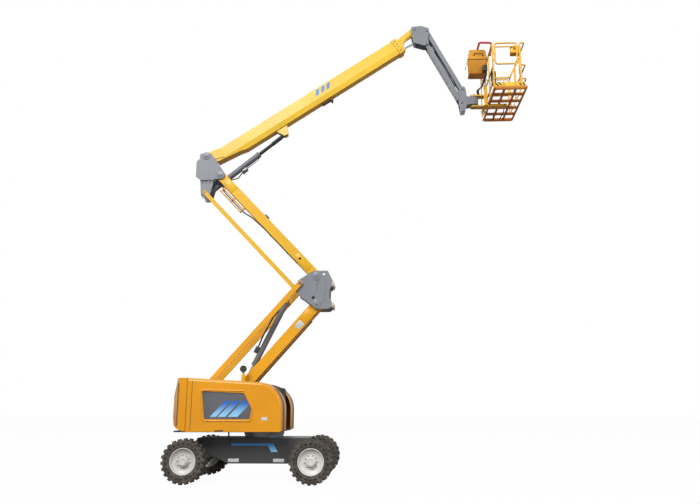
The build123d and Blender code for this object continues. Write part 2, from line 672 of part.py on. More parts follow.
def counterweight():
    """The cast counterweight behind the hoods, notched in front for the folded tower."""
    front = HOOD_REAR - SEAM / 2
    plan = [
        (front, HOOD_HALF_WIDTH), (COUNTERWEIGHT_CORNER, HOOD_HALF_WIDTH - 30),
        (COUNTERWEIGHT_REAR, COUNTERWEIGHT_SHOULDER), (COUNTERWEIGHT_REAR, -COUNTERWEIGHT_SHOULDER),
        (COUNTERWEIGHT_CORNER, 30 - HOOD_HALF_WIDTH), (front, -HOOD_HALF_WIDTH),
    ]
    deep = COUNTERWEIGHT_REAR
    side = [
        (front, HOOD_BOTTOM + 12), (deep + 340, HOOD_BOTTOM + 12), (deep + 60, HOOD_BOTTOM + 130),
        (deep, HOOD_BOTTOM + 300), (deep, HOOD_TOP_REAR - 360), (deep + 170, HOOD_TOP_REAR),
        (front, HOOD_TOP_REAR),
    ]
    body = extrude(Pos(0, 0, HOOD_BOTTOM) * make_face(Polyline(*plan, close=True)), amount=HOOD_TOP_REAR)
    body &= plate(outline(side), -HOOD_HALF_WIDTH, HOOD_HALF_WIDTH)
    notch = slab(COUNTERWEIGHT_NOTCH_X, front + 1, -COUNTERWEIGHT_NOTCH_HALF, COUNTERWEIGHT_NOTCH_HALF,
                 COUNTERWEIGHT_NOTCH_Z, HOOD_TOP_REAR + 1)
    deck_room = slab(COUNTERWEIGHT_NOTCH_X, front + 1, -DECK_HALF_WIDTH, DECK_HALF_WIDTH, 0, DECK_TOP)
    uprights = slab(COUNTERWEIGHT_NOTCH_X, front + 1, LOWER_PLATE_INNER, LOWER_PLATE_OUTER, 0,
                    COUNTERWEIGHT_NOTCH_Z + 1)
    return body - notch - deck_room - both_sides(uprights)


def power_pack():
    """The engine and pump, one plain block under the near hood."""
    x0 = -POWER_PACK_LENGTH / 2 - 350
    y1 = -WALL_Y - WALL_THICK - 60
    block = slab(x0, x0 + POWER_PACK_LENGTH, y1 - POWER_PACK_WIDTH, y1, DECK_TOP,
                 DECK_TOP + POWER_PACK_HEIGHT)
    return fillet(block.edges().filter_by(Axis.Z), 40)


def tank():
    """The oil and fuel tank under the far hood."""
    x0 = -TANK_LENGTH / 2 - 350
    y0 = WALL_Y + WALL_THICK + 60
    block = slab(x0, x0 + TANK_LENGTH, y0, y0 + TANK_WIDTH, DECK_TOP, DECK_TOP + TANK_HEIGHT)
    return fillet(block.edges().filter_by(Axis.Z), 50)


def beacon():
    """The stand of the round lamp, on the slot's side of the near wall."""
    half = BEACON_STAND / 2
    face = SIDE_CLEARANCE / 2 - WALL_Y
    back = face + WALL_THICK / 2
    foot = slab(BEACON_X - half, BEACON_X + half, -WALL_Y, back, WALL_TOP - 120, WALL_TOP - 20)
    return foot + slab(BEACON_X - half, BEACON_X + half, face, back, WALL_TOP - 120, BEACON_Z)


def beacon_lamp():
    """The lamp's round body, facing sideways."""
    y = SIDE_CLEARANCE / 2 - WALL_Y
    return bar(BEACON_X, BEACON_Z, BEACON_DIAMETER, y - BEACON_STAND, y)


def riser(length, depth):
    """A pair of box beams joined by a pin tube at each end, along X from pin to pin."""
    beam = plate(strap(length, depth), RISER_INNER, RISER_OUTER)
    hollow = slab(depth, length - depth, RISER_INNER + RISER_WALL, RISER_OUTER - RISER_WALL,
                  RISER_WALL - depth / 2, depth / 2 - RISER_WALL)
    whole = both_sides(beam - hollow)
    return whole


def with_pin_tubes(part, length, reach):
    """Pin tubes across a riser's two ends, bored for their pins."""
    for x in (0, length):
        part += bar(x, 0, RISER_BOSS_DIAMETER, -reach, reach)
    for x in (0, length):
        part -= bar(x, 0, RISER_PIN_DIAMETER + 2 * PIN_CLEARANCE, -2 * reach, 2 * reach)
    return part


def lower_riser():
    """The lower riser of the tower, with the lugs that hold the foot of the tower cylinder."""
    reach = LOWER_PLATE_INNER - SIDE_CLEARANCE
    part = with_pin_tubes(riser(LOWER_RISER_LENGTH, LOWER_RISER_DEPTH), LOWER_RISER_LENGTH, reach)
    gap = TOWER_ROD_DIAMETER / 2 + HEAD_LUG_GAP
    stub = bar(TOWER_CYLINDER_FOOT, 0, LINK_PIN_DIAMETER, gap, RISER_INNER + 1)
    return at(LOWER_FOOT, LOWER_RISER_ANGLE) * (part + both_sides(stub))


def upper_riser():
    """The upper riser of the tower; its own X axis runs down from the upper knuckle."""
    part = riser(UPPER_RISER_LENGTH, UPPER_RISER_DEPTH)
    part += bar(0, 0, RISER_BOSS_DIAMETER, RISER_INNER, UPPER_PLATE_INNER - SIDE_CLEARANCE)
    part += bar(0, 0, RISER_BOSS_DIAMETER, SIDE_CLEARANCE - UPPER_PLATE_INNER, -RISER_INNER)
    reach = LOWER_PLATE_INNER - SIDE_CLEARANCE
    part += bar(UPPER_RISER_LENGTH, 0, RISER_BOSS_DIAMETER, -reach, reach)
    for x in (0, UPPER_RISER_LENGTH):
        part -= bar(x, 0, RISER_PIN_DIAMETER + 2 * PIN_CLEARANCE, -2 * reach, 2 * reach)
    return at(UPPER_PIN, -UPPER_RISER_ANGLE) * part


def link_bar(length, depth, y0, y1):
    """A flat bar with a pin hole at each end, along X from pin to pin."""
    face = strap(length, depth)
    for x in (0, length):
        face -= Pos(x, 0) * Circle(LINK_PIN_DIAMETER / 2 + PIN_CLEARANCE)
    return plate(face, y0, y1)


def lower_link():
    """The lower parallelogram's link: two bars, the far one with the pin that holds the tower cylinder."""
    part = both_sides(link_bar(LOWER_RISER_LENGTH, LOWER_LINK_DEPTH, LOWER_LINK_INNER, LOWER_LINK_OUTER))
    eye = TOWER_BARREL_DIAMETER / 2 + HEAD_LUG_GAP
    part += bar(TOWER_CYLINDER_HEAD, 0, 0.7 * LOWER_LINK_DEPTH, eye, LOWER_LINK_INNER + 1)
    part += bar(TOWER_CYLINDER_HEAD, 0, LINK_PIN_DIAMETER, -eye, eye)
    part += bar(TOWER_CYLINDER_HEAD, 0, 0.7 * LOWER_LINK_DEPTH, -eye - 2 * HEAD_LUG_GAP, -eye)
    return at(LOWER_LINK_FOOT, LOWER_RISER_ANGLE) * part


def upper_link():
    """The upper parallelogram's link, one bar on the near side, so that it folds past the tower cylinder."""
    part = link_bar(UPPER_RISER_LENGTH, UPPER_LINK_DEPTH, -UPPER_LINK_OUTER, -UPPER_LINK_INNER)
    return at(UPPER_LINK_PIN, -UPPER_RISER_ANGLE) * part


def lower_knuckle():
    """The knuckle between the risers: two shaped plates, cross members and four pins."""
    rise = KNUCKLE_PIN_RISE
    link_x, link_z = LOWER_LINK_OFFSET
    inner_x, inner_z = shifted((0, rise), UPPER_LINK_OFFSET)
    ear = RISER_BOSS_DIAMETER / 2
    corners = [
        (-1.1 * ear, rise + 1.6 * ear), (3.4 * ear, rise + 1.65 * ear), (5.5 * ear, rise - 2.5 * ear),
        (4.0 * ear, rise - 3.9 * ear), (3.9 * ear, 2.0 * ear), (5.2 * ear, -0.3 * ear),
        (3.8 * ear, -1.55 * ear),
        (0, -1.55 * ear), (inner_x + 0.6 * ear, inner_z - 1.1 * ear),
        (inner_x - 0.9 * ear, inner_z - 0.2 * ear),
        (link_x - 0.9 * ear, link_z + 0.8 * ear),
    ]
    face = outline(corners, 0.45 * ear)
    face -= Pos(2.2 * ear, rise + 0.5 * ear) * Circle(0.42 * ear)
    face -= Pos(-0.85 * ear, 2.15 * ear) * Circle(0.35 * ear)
    part = both_sides(plate(face, LOWER_PLATE_INNER, LOWER_PLATE_OUTER))
    for z in (rise - 2.5 * ear, -0.3 * ear):
        part += slab(4.0 * ear, 4.9 * ear, -LOWER_PLATE_OUTER, LOWER_PLATE_OUTER, z - 0.55 * ear,
                     z + 0.55 * ear)
    tie_z = (rise - 2.8 * ear) / 2
    part += slab(3.0 * ear, 3.3 * ear, -LOWER_PLATE_OUTER, LOWER_PLATE_OUTER, tie_z - ear, tie_z + ear)
    for z in (0, rise):
        part += bar(0, z, RISER_PIN_DIAMETER, -LOWER_PLATE_OUTER, LOWER_PLATE_OUTER)
    outer_pin = bar(link_x, link_z, LINK_PIN_DIAMETER, LOWER_PLATE_INNER,
                    LOWER_LINK_OUTER + SIDE_CLEARANCE)
    part += bar(inner_x, inner_z, LINK_PIN_DIAMETER, -LOWER_PLATE_OUTER,
                SIDE_CLEARANCE - UPPER_LINK_INNER)
    return at(LOWER_PIN) * (part + both_sides(outer_pin))


def upper_knuckle():
    """The knuckle that carries the main boom: wide plates above, narrow lugs below, and four pins."""
    ear = RISER_BOSS_DIAMETER / 2
    pivot_x, pivot_z = BOOM_PIVOT_OFFSET
    link_x, link_z = UPPER_LINK_OFFSET
    wide = [
        (pivot_x - 2.1 * ear, pivot_z + 0.85 * ear), (pivot_x + 1.6 * ear, pivot_z + 0.85 * ear),
        (1.25 * ear, 0.9 * ear), (1.25 * ear, -0.9 * ear), (0.5 * ear, -1.3 * ear),
        (pivot_x - 1.8 * ear, -1.3 * ear),
        (pivot_x - 3.1 * ear, -0.4 * ear), (pivot_x - 3.1 * ear, pivot_z - 1.8 * ear),
        (pivot_x - 2.1 * ear, pivot_z - ear),
    ]
    plates = plate(outline(wide, 0.45 * ear), UPPER_PLATE_INNER, UPPER_PLATE_OUTER)
    narrow = [
        (link_x - 1.8 * ear, -1.2 * ear), (link_x + 2.9 * ear, -1.2 * ear),
        (link_x + 1.5 * ear, link_z - 1.0 * ear),
        (link_x + 0.6 * ear, link_z - 1.8 * ear), (link_x - 0.7 * ear, link_z - 1.8 * ear),
        (link_x - 1.3 * ear, link_z - 0.9 * ear),
    ]
    lugs = plate(outline(narrow, 0.35 * ear), UPPER_LUG_INNER, UPPER_LUG_OUTER)
    flange = slab(link_x - 1.8 * ear, link_x + 2.9 * ear, UPPER_LUG_INNER, UPPER_PLATE_OUTER, -1.6 * ear,
                  -1.2 * ear)
    back = slab(pivot_x - 2.95 * ear, pivot_x - 2.7 * ear, -UPPER_PLATE_OUTER, UPPER_PLATE_OUTER,
                0.2 * ear, pivot_z - 2.2 * ear)
    stub = bar(0, 0, RISER_PIN_DIAMETER, RISER_INNER, UPPER_PLATE_OUTER)
    pins = bar(pivot_x, pivot_z, BOOM_PIN_DIAMETER, -UPPER_PLATE_OUTER, UPPER_PLATE_OUTER)
    pins += bar(link_x, link_z, LINK_PIN_DIAMETER, -UPPER_LINK_OUTER - SIDE_CLEARANCE, UPPER_LUG_OUTER)
    return at(UPPER_PIN) * (both_sides(plates + lugs + flange + stub) + back + pins)


def boom_section(shrink):
    """The boom's cross-section in Y and Z: straight sides that draw in below a crease."""
    half = BOOM_WIDTH / 2 - shrink
    belly = BOOM_BELLY_WIDTH / 2 - shrink
    top = BOOM_TOP - shrink
    low = BOOM_BOTTOM + shrink
    side = [(half, top), (half, BOOM_CREASE), (belly, low)]
    face = make_face(Polyline(*side, *[(-y, z) for y, z in reversed(side)], close=True))
    return fillet(face.vertices(), 14)


def boom_tube(x0, x1, shrink, wall):
    """A length of hollow boom section along X."""
    profile = boom_section(shrink) - boom_section(shrink + wall)
    return Pos(x0, 0, 0) * extrude(Plane.YZ * profile, amount=x1 - x0)


def boom_taper(lift):
    """The wedge taken from beneath the boom's rear end, where the lift cylinder swings up."""
    edge = [(x, z + lift) for x, z in BOOM_TAPER]
    rear = (edge[0][0] - BOOM_REAR / 2, edge[0][1])
    low = 2 * BOOM_BOTTOM
    wedge = outline([rear, *edge, (edge[-1][0], low), (rear[0], low)])
    return plate(wedge, -BOOM_WIDTH, BOOM_WIDTH)


def wear_pads(x0, half, top, low, thick):
    """Four sliding pads round a boom section, between two heights and out from its sides."""
    x1 = x0 + WEAR_PAD_LENGTH
    belly = 0.5 * BOOM_BELLY_WIDTH / 2
    part = both_sides(slab(x0, x1, half, half + thick, BOOM_CREASE + 40, BOOM_TOP - 80))
    part += slab(x0, x1, -belly, belly, top, top + thick)
    return part + slab(x0, x1, -belly, belly, low - thick, low)


def boom_base():
    """The main boom's outer section, with its pivot ears, mouth collar and cylinder bracket."""
    length = BOOM_MOUTH - BOOM_REAR
    tube = Pos(BOOM_REAR, 0, 0) * extrude(Plane.YZ * boom_section(0), amount=length) - boom_taper(0)
    room = Pos(BOOM_REAR, 0, 0) * extrude(Plane.YZ * boom_section(BOOM_WALL), amount=length)
    tube -= room - boom_taper(BOOM_WALL)
    collar = boom_tube(BOOM_MOUTH - BOOM_COLLAR, BOOM_MOUTH, -BOOM_COLLAR_THICK, BOOM_COLLAR_THICK)
    half = BOOM_WIDTH / 2
    ear_face = Circle(BOOM_EAR_DIAMETER / 2)
    ear_face += outline([(0, -BOOM_EAR_DIAMETER / 2), (2.4 * BOOM_REAR, BOOM_BOTTOM + 130),
                         (2.4 * BOOM_REAR, BOOM_TOP),
                         (0, BOOM_EAR_DIAMETER / 2)])
    ear_face -= Circle(BOOM_PIN_DIAMETER / 2 + PIN_CLEARANCE)
    ear = plate(ear_face, half, half + BOOM_COLLAR_THICK)
    boss_face = Circle(BOOM_EAR_DIAMETER / 2) - Circle(BOOM_PIN_DIAMETER / 2 + PIN_CLEARANCE)
    boss = plate(boss_face, half, UPPER_PLATE_INNER - SIDE_CLEARANCE)
    lug_half = BRACKET_LENGTH / 2
    low = -BRACKET_DROP
    lug_face = outline([(-lug_half, BOOM_BOTTOM + 1), (lug_half, BOOM_BOTTOM + 1), (50, low - 55),
                        (-50, low - 55)], 20)
    lug_face = Pos(BRACKET_ALONG, 0) * lug_face
    lug = plate(lug_face, BRACKET_INNER, BRACKET_OUTER)
    fly = BOOM_WALL + FLY_GAP - PIN_CLEARANCE
    pads = wear_pads(BOOM_MOUTH - WEAR_PAD_LENGTH, half - fly, BOOM_TOP - fly, BOOM_BOTTOM + fly, FLY_GAP)
    return at(BOOM_PIVOT, BOOM_ANGLE) * (tube + collar + pads + both_sides(ear + boss + lug))


def boom_fly():
    """The sliding inner section, ending in two cheeks that carry the jib head."""
    shrink = BOOM_WALL + FLY_GAP
    tube = boom_tube(FLY_REAR, FLY_NOSE_START, shrink, BOOM_WALL)
    cheek_face = Pos(BOOM_TIP, 0) * Circle(TIP_EAR_DIAMETER / 2)
    top = BOOM_TOP - shrink
    cheek_face += outline([
        (FLY_NOSE_START - 260, top), (FLY_NOSE_START, top), (BOOM_TIP, TIP_EAR_DIAMETER / 2 - 6),
        (BOOM_TIP, -TIP_EAR_DIAMETER / 2), (BOOM_TIP - 290, -80), (BOOM_TIP - 360, -95),
        (FLY_NOSE_START, -225), (FLY_NOSE_START - 260, -225),
    ])
    cheek_face -= Pos(BOOM_TIP, 0) * Circle(TIP_PIN_DIAMETER / 2 + PIN_CLEARANCE)
    cheek = plate(cheek_face, FLY_CHEEK_INNER, FLY_CHEEK_OUTER)
    inner_half = BOOM_WIDTH / 2 - shrink - BOOM_WALL
    spacer = slab(FLY_NOSE_START - 250, FLY_NOSE_START - 20, FLY_CHEEK_OUTER, inner_half + 1, -180,
                  top - 40)
    foot = bar(LEVEL_FOOT_ALONG, -LEVEL_FOOT_DROP, JIB_PIN_DIAMETER, -inner_half - 1, inner_half + 1)
    base = shrink + 1
    pads = wear_pads(FLY_REAR, BOOM_WIDTH / 2 - base, BOOM_TOP - base, BOOM_BOTTOM + base,
                     FLY_GAP + 1 - PIN_CLEARANCE)
    return at(BOOM_PIVOT, BOOM_ANGLE) * (tube + both_sides(cheek + spacer) + foot + pads)


def jib_head():
    """The head at the boom tip: two cheek plates with the boom pin and the jib's two upper pins."""
    link_x, link_z = JIB_LINK_TOP
    boom_x, boom_z = JIB_BOOM_TOP
    ear = JIB_PIN_DIAMETER
    corners = [
        (-1.5 * ear, 1.2 * ear), (0.55 * link_x, 1.7 * ear), (link_x + 0.8 * ear, link_z + 1.4 * ear),
        (link_x + 1.2 * ear, link_z - 1.2 * ear), (boom_x + 0.7 * ear, (link_z + boom_z) / 2),
        (boom_x + 1.3 * ear, boom_z - 0.7 * ear), (boom_x - 1.2 * ear, boom_z - 1.3 * ear),
        (LEVEL_HEAD[0] - 0.9 * ear, LEVEL_HEAD[1] - 1.1 * ear), (-1.3 * ear, -3.4 * ear),
        (-1.7 * ear, -ear),
    ]
    part = both_sides(plate(outline(corners, 0.6 * ear), HEAD_INNER, HEAD_OUTER))
    part += bar(0, 0, TIP_PIN_DIAMETER, -HEAD_OUTER, HEAD_OUTER)
    for x, z in (JIB_LINK_TOP, JIB_BOOM_TOP):
        part += bar(x, z, JIB_PIN_DIAMETER, -HEAD_OUTER, HEAD_OUTER)
    stub = bar(LEVEL_HEAD[0], LEVEL_HEAD[1], JIB_PIN_DIAMETER, LEVEL_ROD_DIAMETER / 2 + HEAD_LUG_GAP,
               HEAD_OUTER)
    return at(BOOM_TIP_PIN) * (part + both_sides(stub))


def channel(length, depth, inner, outer, web_up, open_end):
    """A channel along X from pin to pin: two side bars and a web along one edge."""
    face = strap(length, depth)
    for x in (0, length):
        face -= Pos(x, 0) * Circle(JIB_PIN_DIAMETER / 2 + PIN_CLEARANCE)
    sides = both_sides(plate(face, inner, outer))
    z0 = depth / 2 - JIB_WEB if web_up else -depth / 2
    return sides + slab(1.2 * depth, length - open_end, -outer, outer, z0, z0 + JIB_WEB)


def spacers(x, inner, outer):
    """Washers that fill the gap beside a channel's pin hole."""
    face = Pos(x, 0) * (Circle(JIB_PIN_DIAMETER) - Circle(JIB_PIN_DIAMETER / 2 + PIN_CLEARANCE))
    return both_sides(plate(face, inner, outer))


def jib_boom():
    """The jib's lower member, a channel that opens upwards round the jib cylinder."""
    part = channel(JIB_LENGTH, JIB_BOOM_DEPTH, JIB_BOOM_INNER, JIB_BOOM_OUTER, False,
                   1.2 * JIB_BOOM_DEPTH)
    return at(JIB_BOOM_PIN, JIB_ANGLE) * part


def jib_link():
    """The jib's upper member, a channel that opens downwards, with washers out to the cheeks."""
    part = channel(JIB_LENGTH, JIB_LINK_DEPTH, JIB_LINK_INNER, JIB_LINK_OUTER, True, 4 * JIB_LINK_DEPTH)
    for x in (0, JIB_LENGTH):
        part += spacers(x, JIB_LINK_OUTER, JIB_BOOM_OUTER)
    return at(JIB_LINK_PIN, JIB_ANGLE) * part


def jib_end():
    """The casting at the jib's lower end, with the rotator that turns the platform."""
    link = (JIB_LINK_END[0] - JIB_BOOM_END[0], JIB_LINK_END[1] - JIB_BOOM_END[1])
    ear = JIB_PIN_DIAMETER
    corners = [
        (link[0] - 1.3 * ear, link[1] + 1.2 * ear), (link[0] + 1.2 * ear, link[1] + 1.3 * ear),
        (link[0] + 1.9 * ear, link[1] - 0.6 * ear), (2.4 * ear, ROTATOR_HIGH - 10),
        (4.6 * ear, ROTATOR_HIGH - 30),
        (4.6 * ear, ROTATOR_LOW + 20), (2.4 * ear, ROTATOR_LOW), (1.6 * ear, -4.6 * ear),
        (-0.6 * ear, -5 * ear),
        (-1.4 * ear, 0),
    ]
    part = both_sides(plate(outline(corners, 0.4 * ear), HEAD_INNER, HEAD_OUTER))
    part += slab(2.4 * ear, ROTATOR_REACH, -HEAD_OUTER, HEAD_OUTER, ROTATOR_LOW + 20, ROTATOR_HIGH - 30)
    part += Pos(ROTATOR_REACH, 0, (ROTATOR_LOW + ROTATOR_HIGH) / 2) * Cylinder(
        HEAD_OUTER, ROTATOR_HIGH - ROTATOR_LOW - 50)
    part += post(ROTATOR_REACH, 0, ROTATOR_DIAMETER, ROTATOR_LOW, ROTATOR_HIGH)
    grip = FORK_GAP + FORK_ARM_THICK + 8
    part += post(ROTATOR_REACH, 0, ROTATOR_SHAFT, ROTATOR_LOW - grip, ROTATOR_HIGH + grip)
    part += bar(0, 0, JIB_PIN_DIAMETER, -HEAD_OUTER, HEAD_OUTER)
    stub = bar(link[0], link[1], JIB_PIN_DIAMETER, JIB_ROD_DIAMETER / 2 + HEAD_LUG_GAP, HEAD_OUTER)
    return at(JIB_BOOM_END) * (part + both_sides(stub))


def on_platform():
    """The place of the platform's pieces: on the rotator's axis, at the underside of the floor."""
    return Pos(ROTATOR_X, 0, FLOOR_Z)


RAIL_X0 = PLATFORM_REACH + RAIL_DIAMETER / 2
RAIL_X1 = PLATFORM_REACH + PLATFORM_DEPTH - RAIL_DIAMETER / 2
RAIL_Y = PLATFORM_LENGTH / 2 - RAIL_DIAMETER / 2
RAIL_LEVELS = [FLOOR_TUBE + height for height in (LOW_RAIL_HEIGHT, MID_RAIL_HEIGHT, RAIL_HEIGHT)]
GATE_HINGE_X = RAIL_X1 - GATE_INSET


def platform_support():
    """The fork on the rotator, its mast and the arm beneath the floor."""
    arm_face = Circle(FORK_ARM_WIDTH / 2) + Pos(MAST_INNER / 2 + 5, 0) * Rectangle(MAST_INNER + 10,
                                                                                   FORK_ARM_WIDTH)
    arm_face -= Circle(ROTATOR_SHAFT / 2 + PIN_CLEARANCE)
    part = slab(MAST_INNER, MAST_INNER + MAST_DEPTH, -MAST_HALF_WIDTH, MAST_HALF_WIDTH, -FLOOR_TUBE,
                MAST_TOP)
    part = fillet(part.edges().filter_by(Axis.Z), 20)
    low = FLOOR_DROP + ROTATOR_LOW - FORK_GAP - FORK_ARM_THICK
    high = FLOOR_DROP + ROTATOR_HIGH + FORK_GAP
    for z in (low, high):
        part += Pos(0, 0, z) * extrude(arm_face, amount=FORK_ARM_THICK)
    reach = MAST_INNER + MAST_DEPTH + UNDER_ARM_LENGTH
    part += slab(MAST_INNER, reach, -0.6 * MAST_HALF_WIDTH, 0.6 * MAST_HALF_WIDTH, low, 0)
    return on_platform() * part


def platform_floor():
    """The floor frame of square tube, with a grid of bars that stands a little proud of it."""
    x0, x1 = PLATFORM_REACH, PLATFORM_REACH + PLATFORM_DEPTH
    y1 = PLATFORM_LENGTH / 2
    edge = FLOOR_TUBE - 1
    ring = slab(x0, x1, -y1, y1, 0, FLOOR_TUBE)
    ring -= slab(x0 + FLOOR_TUBE, x1 - FLOOR_TUBE, FLOOR_TUBE - y1, y1 - FLOOR_TUBE, -1, FLOOR_TUBE + 1)
    half = FLOOR_BAR / 2
    top = FLOOR_TUBE + FLOOR_BAR_PROUD
    for step in range(1, FLOOR_ROWS):
        y = step * PLATFORM_LENGTH / FLOOR_ROWS - y1
        ring += slab(x0 + edge, x1 - edge, y - half, y + half, top - FLOOR_BAR_HEIGHT, top)
    for step in range(1, FLOOR_COLUMNS):
        x = x0 + step * PLATFORM_DEPTH / FLOOR_COLUMNS
        ring += slab(x - half, x + half, edge - y1, y1 - edge, top - FLOOR_BAR_HEIGHT, top)
    return on_platform() * ring


def platform_toe_boards():
    """The three boards that stand round the floor, on all but the gate's side."""
    x0, x1 = PLATFORM_REACH, PLATFORM_REACH + PLATFORM_DEPTH
    y1 = PLATFORM_LENGTH / 2
    inset = RAIL_DIAMETER / 2 + POST_DIAMETER / 2 + PIN_CLEARANCE
    low, high = FLOOR_TUBE, FLOOR_TUBE + TOE_HEIGHT
    part = slab(x0 + inset, x1 - inset, inset - y1, inset + TOE_THICK - y1, low, high)
    start = inset + TOE_THICK + PIN_CLEARANCE - y1
    part += slab(x0 + inset, x0 + inset + TOE_THICK, start, y1 - inset, low, high)
    return on_platform() * (part + slab(x1 - inset - TOE_THICK, x1 - inset, start, y1 - inset, low, high))


def rail_side(x, y0, posts):
    """A flat panel of rails along Y at this place: posts at the given places and a rail at each level."""
    part = None
    for y in posts:
        reach = RAIL_LEVELS[-1] + (POST_DIAMETER if y == RAIL_Y else 0)
        upright = post(x, y, POST_DIAMETER, FLOOR_TUBE, reach)
        part = upright if part is None else part + upright
    for z in RAIL_LEVELS:
        part += bar(x, z, RAIL_DIAMETER, y0, RAIL_Y)
    return part


def platform_rail_inner():
    """The guard rails on the boom's side of the platform."""
    start = POST_DIAMETER / 2 + PIN_CLEARANCE - RAIL_Y
    return on_platform() * rail_side(RAIL_X0, start, (RAIL_Y, RAIL_Y / 3, -RAIL_Y / 3))


def platform_rail_outer():
    """The guard rails on the far side from the boom, with the lugs that carry the gate."""
    part = rail_side(RAIL_X1, -RAIL_Y, (RAIL_Y, RAIL_Y / 3, -RAIL_Y / 3, -RAIL_Y))
    for z in gate_hinge_levels():
        part += slab(GATE_HINGE_X - GATE_PIN, RAIL_X1, RAIL_Y - GATE_PIN, RAIL_Y + GATE_PIN, z - GATE_GAP,
                     z)
        part += post(GATE_HINGE_X, RAIL_Y, GATE_PIN, z, z + 2 * GATE_STILE)
    return on_platform() * part


def platform_rail_end():
    """The guard rails across the near end of the platform."""
    end = RAIL_X1 - POST_DIAMETER / 2 - PIN_CLEARANCE
    part = post(RAIL_X0, -RAIL_Y, POST_DIAMETER, FLOOR_TUBE, RAIL_LEVELS[-1])
    part += post(RAIL_X1 - RAIL_POST_INSET, -RAIL_Y, POST_DIAMETER, FLOOR_TUBE, RAIL_LEVELS[-1])
    for z in RAIL_LEVELS:
        part += Pos((RAIL_X0 + end) / 2, -RAIL_Y, z) * Rot(0, 90, 0) * Cylinder(RAIL_DIAMETER / 2,
                                                                                end - RAIL_X0)
    return on_platform() * part


def gate_hinge_levels():
    """The heights of the two hinge lugs that carry the gate."""
    return (FLOOR_TUBE + TOE_HEIGHT, RAIL_LEVELS[1])


def platform_gate():
    """The entry gate at the far end, a tube frame that swings inwards."""
    low = FLOOR_TUBE + TOE_HEIGHT + PIN_CLEARANCE
    top = RAIL_LEVELS[-1]
    free = RAIL_X0 + POST_DIAMETER / 2 + GATE_GAP + GATE_STILE / 2
    part = post(GATE_HINGE_X, RAIL_Y, GATE_STILE, low, top) + post(free, RAIL_Y, GATE_STILE, low, top)
    length = GATE_HINGE_X - free
    for z in (low + GATE_STILE, RAIL_LEVELS[1] + 3 * GATE_STILE, top - GATE_STILE / 2):
        part += Pos((GATE_HINGE_X + free) / 2, RAIL_Y, z) * Rot(0, 90, 0) * Cylinder(GATE_STILE / 2,
                                                                                     length)
    for z in gate_hinge_levels():
        part -= post(GATE_HINGE_X, RAIL_Y, GATE_PIN + 2 * PIN_CLEARANCE, z - 1,
                     z + 2 * GATE_STILE + PIN_CLEARANCE)
        part -= slab(GATE_HINGE_X - 2 * GATE_STILE, GATE_HINGE_X + 2 * GATE_STILE, RAIL_Y - GATE_STILE,
                     RAIL_Y + GATE_STILE, z - GATE_GAP - GATE_PIN, z + PIN_CLEARANCE)
    return on_platform() * part


def control_console():
    """The control box that hangs on the boom side of the rails, with a sloping top."""
    x1 = PLATFORM_REACH - PIN_CLEARANCE
    x0 = CONSOLE_REACH
    face = outline([
        (x0, CONSOLE_LOW + 0.5 * CONSOLE_SLOPE), (x0, CONSOLE_HIGH - CONSOLE_SLOPE),
        (x0 + CONSOLE_SLOPE, CONSOLE_HIGH),
        (x1, CONSOLE_HIGH), (x1, CONSOLE_LOW), (x0 + CONSOLE_SLOPE, CONSOLE_LOW),
    ])
    half = CONSOLE_HALF_WIDTH
    box = fillet(plate(face, -half, half).edges().filter_by(Axis.Y), 2 * CONSOLE_WALL)
    room = plate(offset(face, -CONSOLE_WALL, kind=Kind.INTERSECTION), CONSOLE_WALL - half,
                 half - CONSOLE_WALL)
    return on_platform() * (box - room)


def safety_bar():
    """The padded bar above the console, on two uprights from the top rail."""
    half = SAFETY_BAR_LENGTH / 2
    part = bar(RAIL_X0, SAFETY_BAR_HEIGHT, SAFETY_BAR_DIAMETER, -half, half)
    foot = RAIL_LEVELS[-1] + RAIL_DIAMETER / 2 + PIN_CLEARANCE
    for y in (-0.8 * half, 0.8 * half):
        part += post(RAIL_X0, y, SAFETY_BAR_DIAMETER / 2, foot, SAFETY_BAR_HEIGHT)
    return on_platform() * part


def span(start, end):
    """The length and angle of the line between two points of the XZ plane."""
    dx, dz = end[0] - start[0], end[1] - start[1]
    return math.hypot(dx, dz), math.degrees(math.atan2(dz, dx))


def barrel(diameter, length, rod_diameter, pin):
    """A cylinder barrel along X from its foot pin, bored for the rod."""
    eye = pin + 2 * EYE_WALL
    part = bar(0, 0, eye, -rod_diameter / 2, rod_diameter / 2) + rod(eye / 3, length, diameter)
    part = part + rod(length - 60, length, diameter + 12)
    part -= bar(0, 0, pin + 2 * PIN_CLEARANCE, -diameter, diameter)
    return part - rod(eye / 2 + BORE_START, length + 1, rod_diameter + 2 * ROD_CLEARANCE)


def plunger(rest_length, inside, barrel_length, diameter, eye):
    """A cylinder rod along X at its rest length, with the eye at its outer end."""
    stem = rod(barrel_length - inside, rest_length, diameter)
    return stem + bar(rest_length, 0, eye, -diameter / 2, diameter / 2)


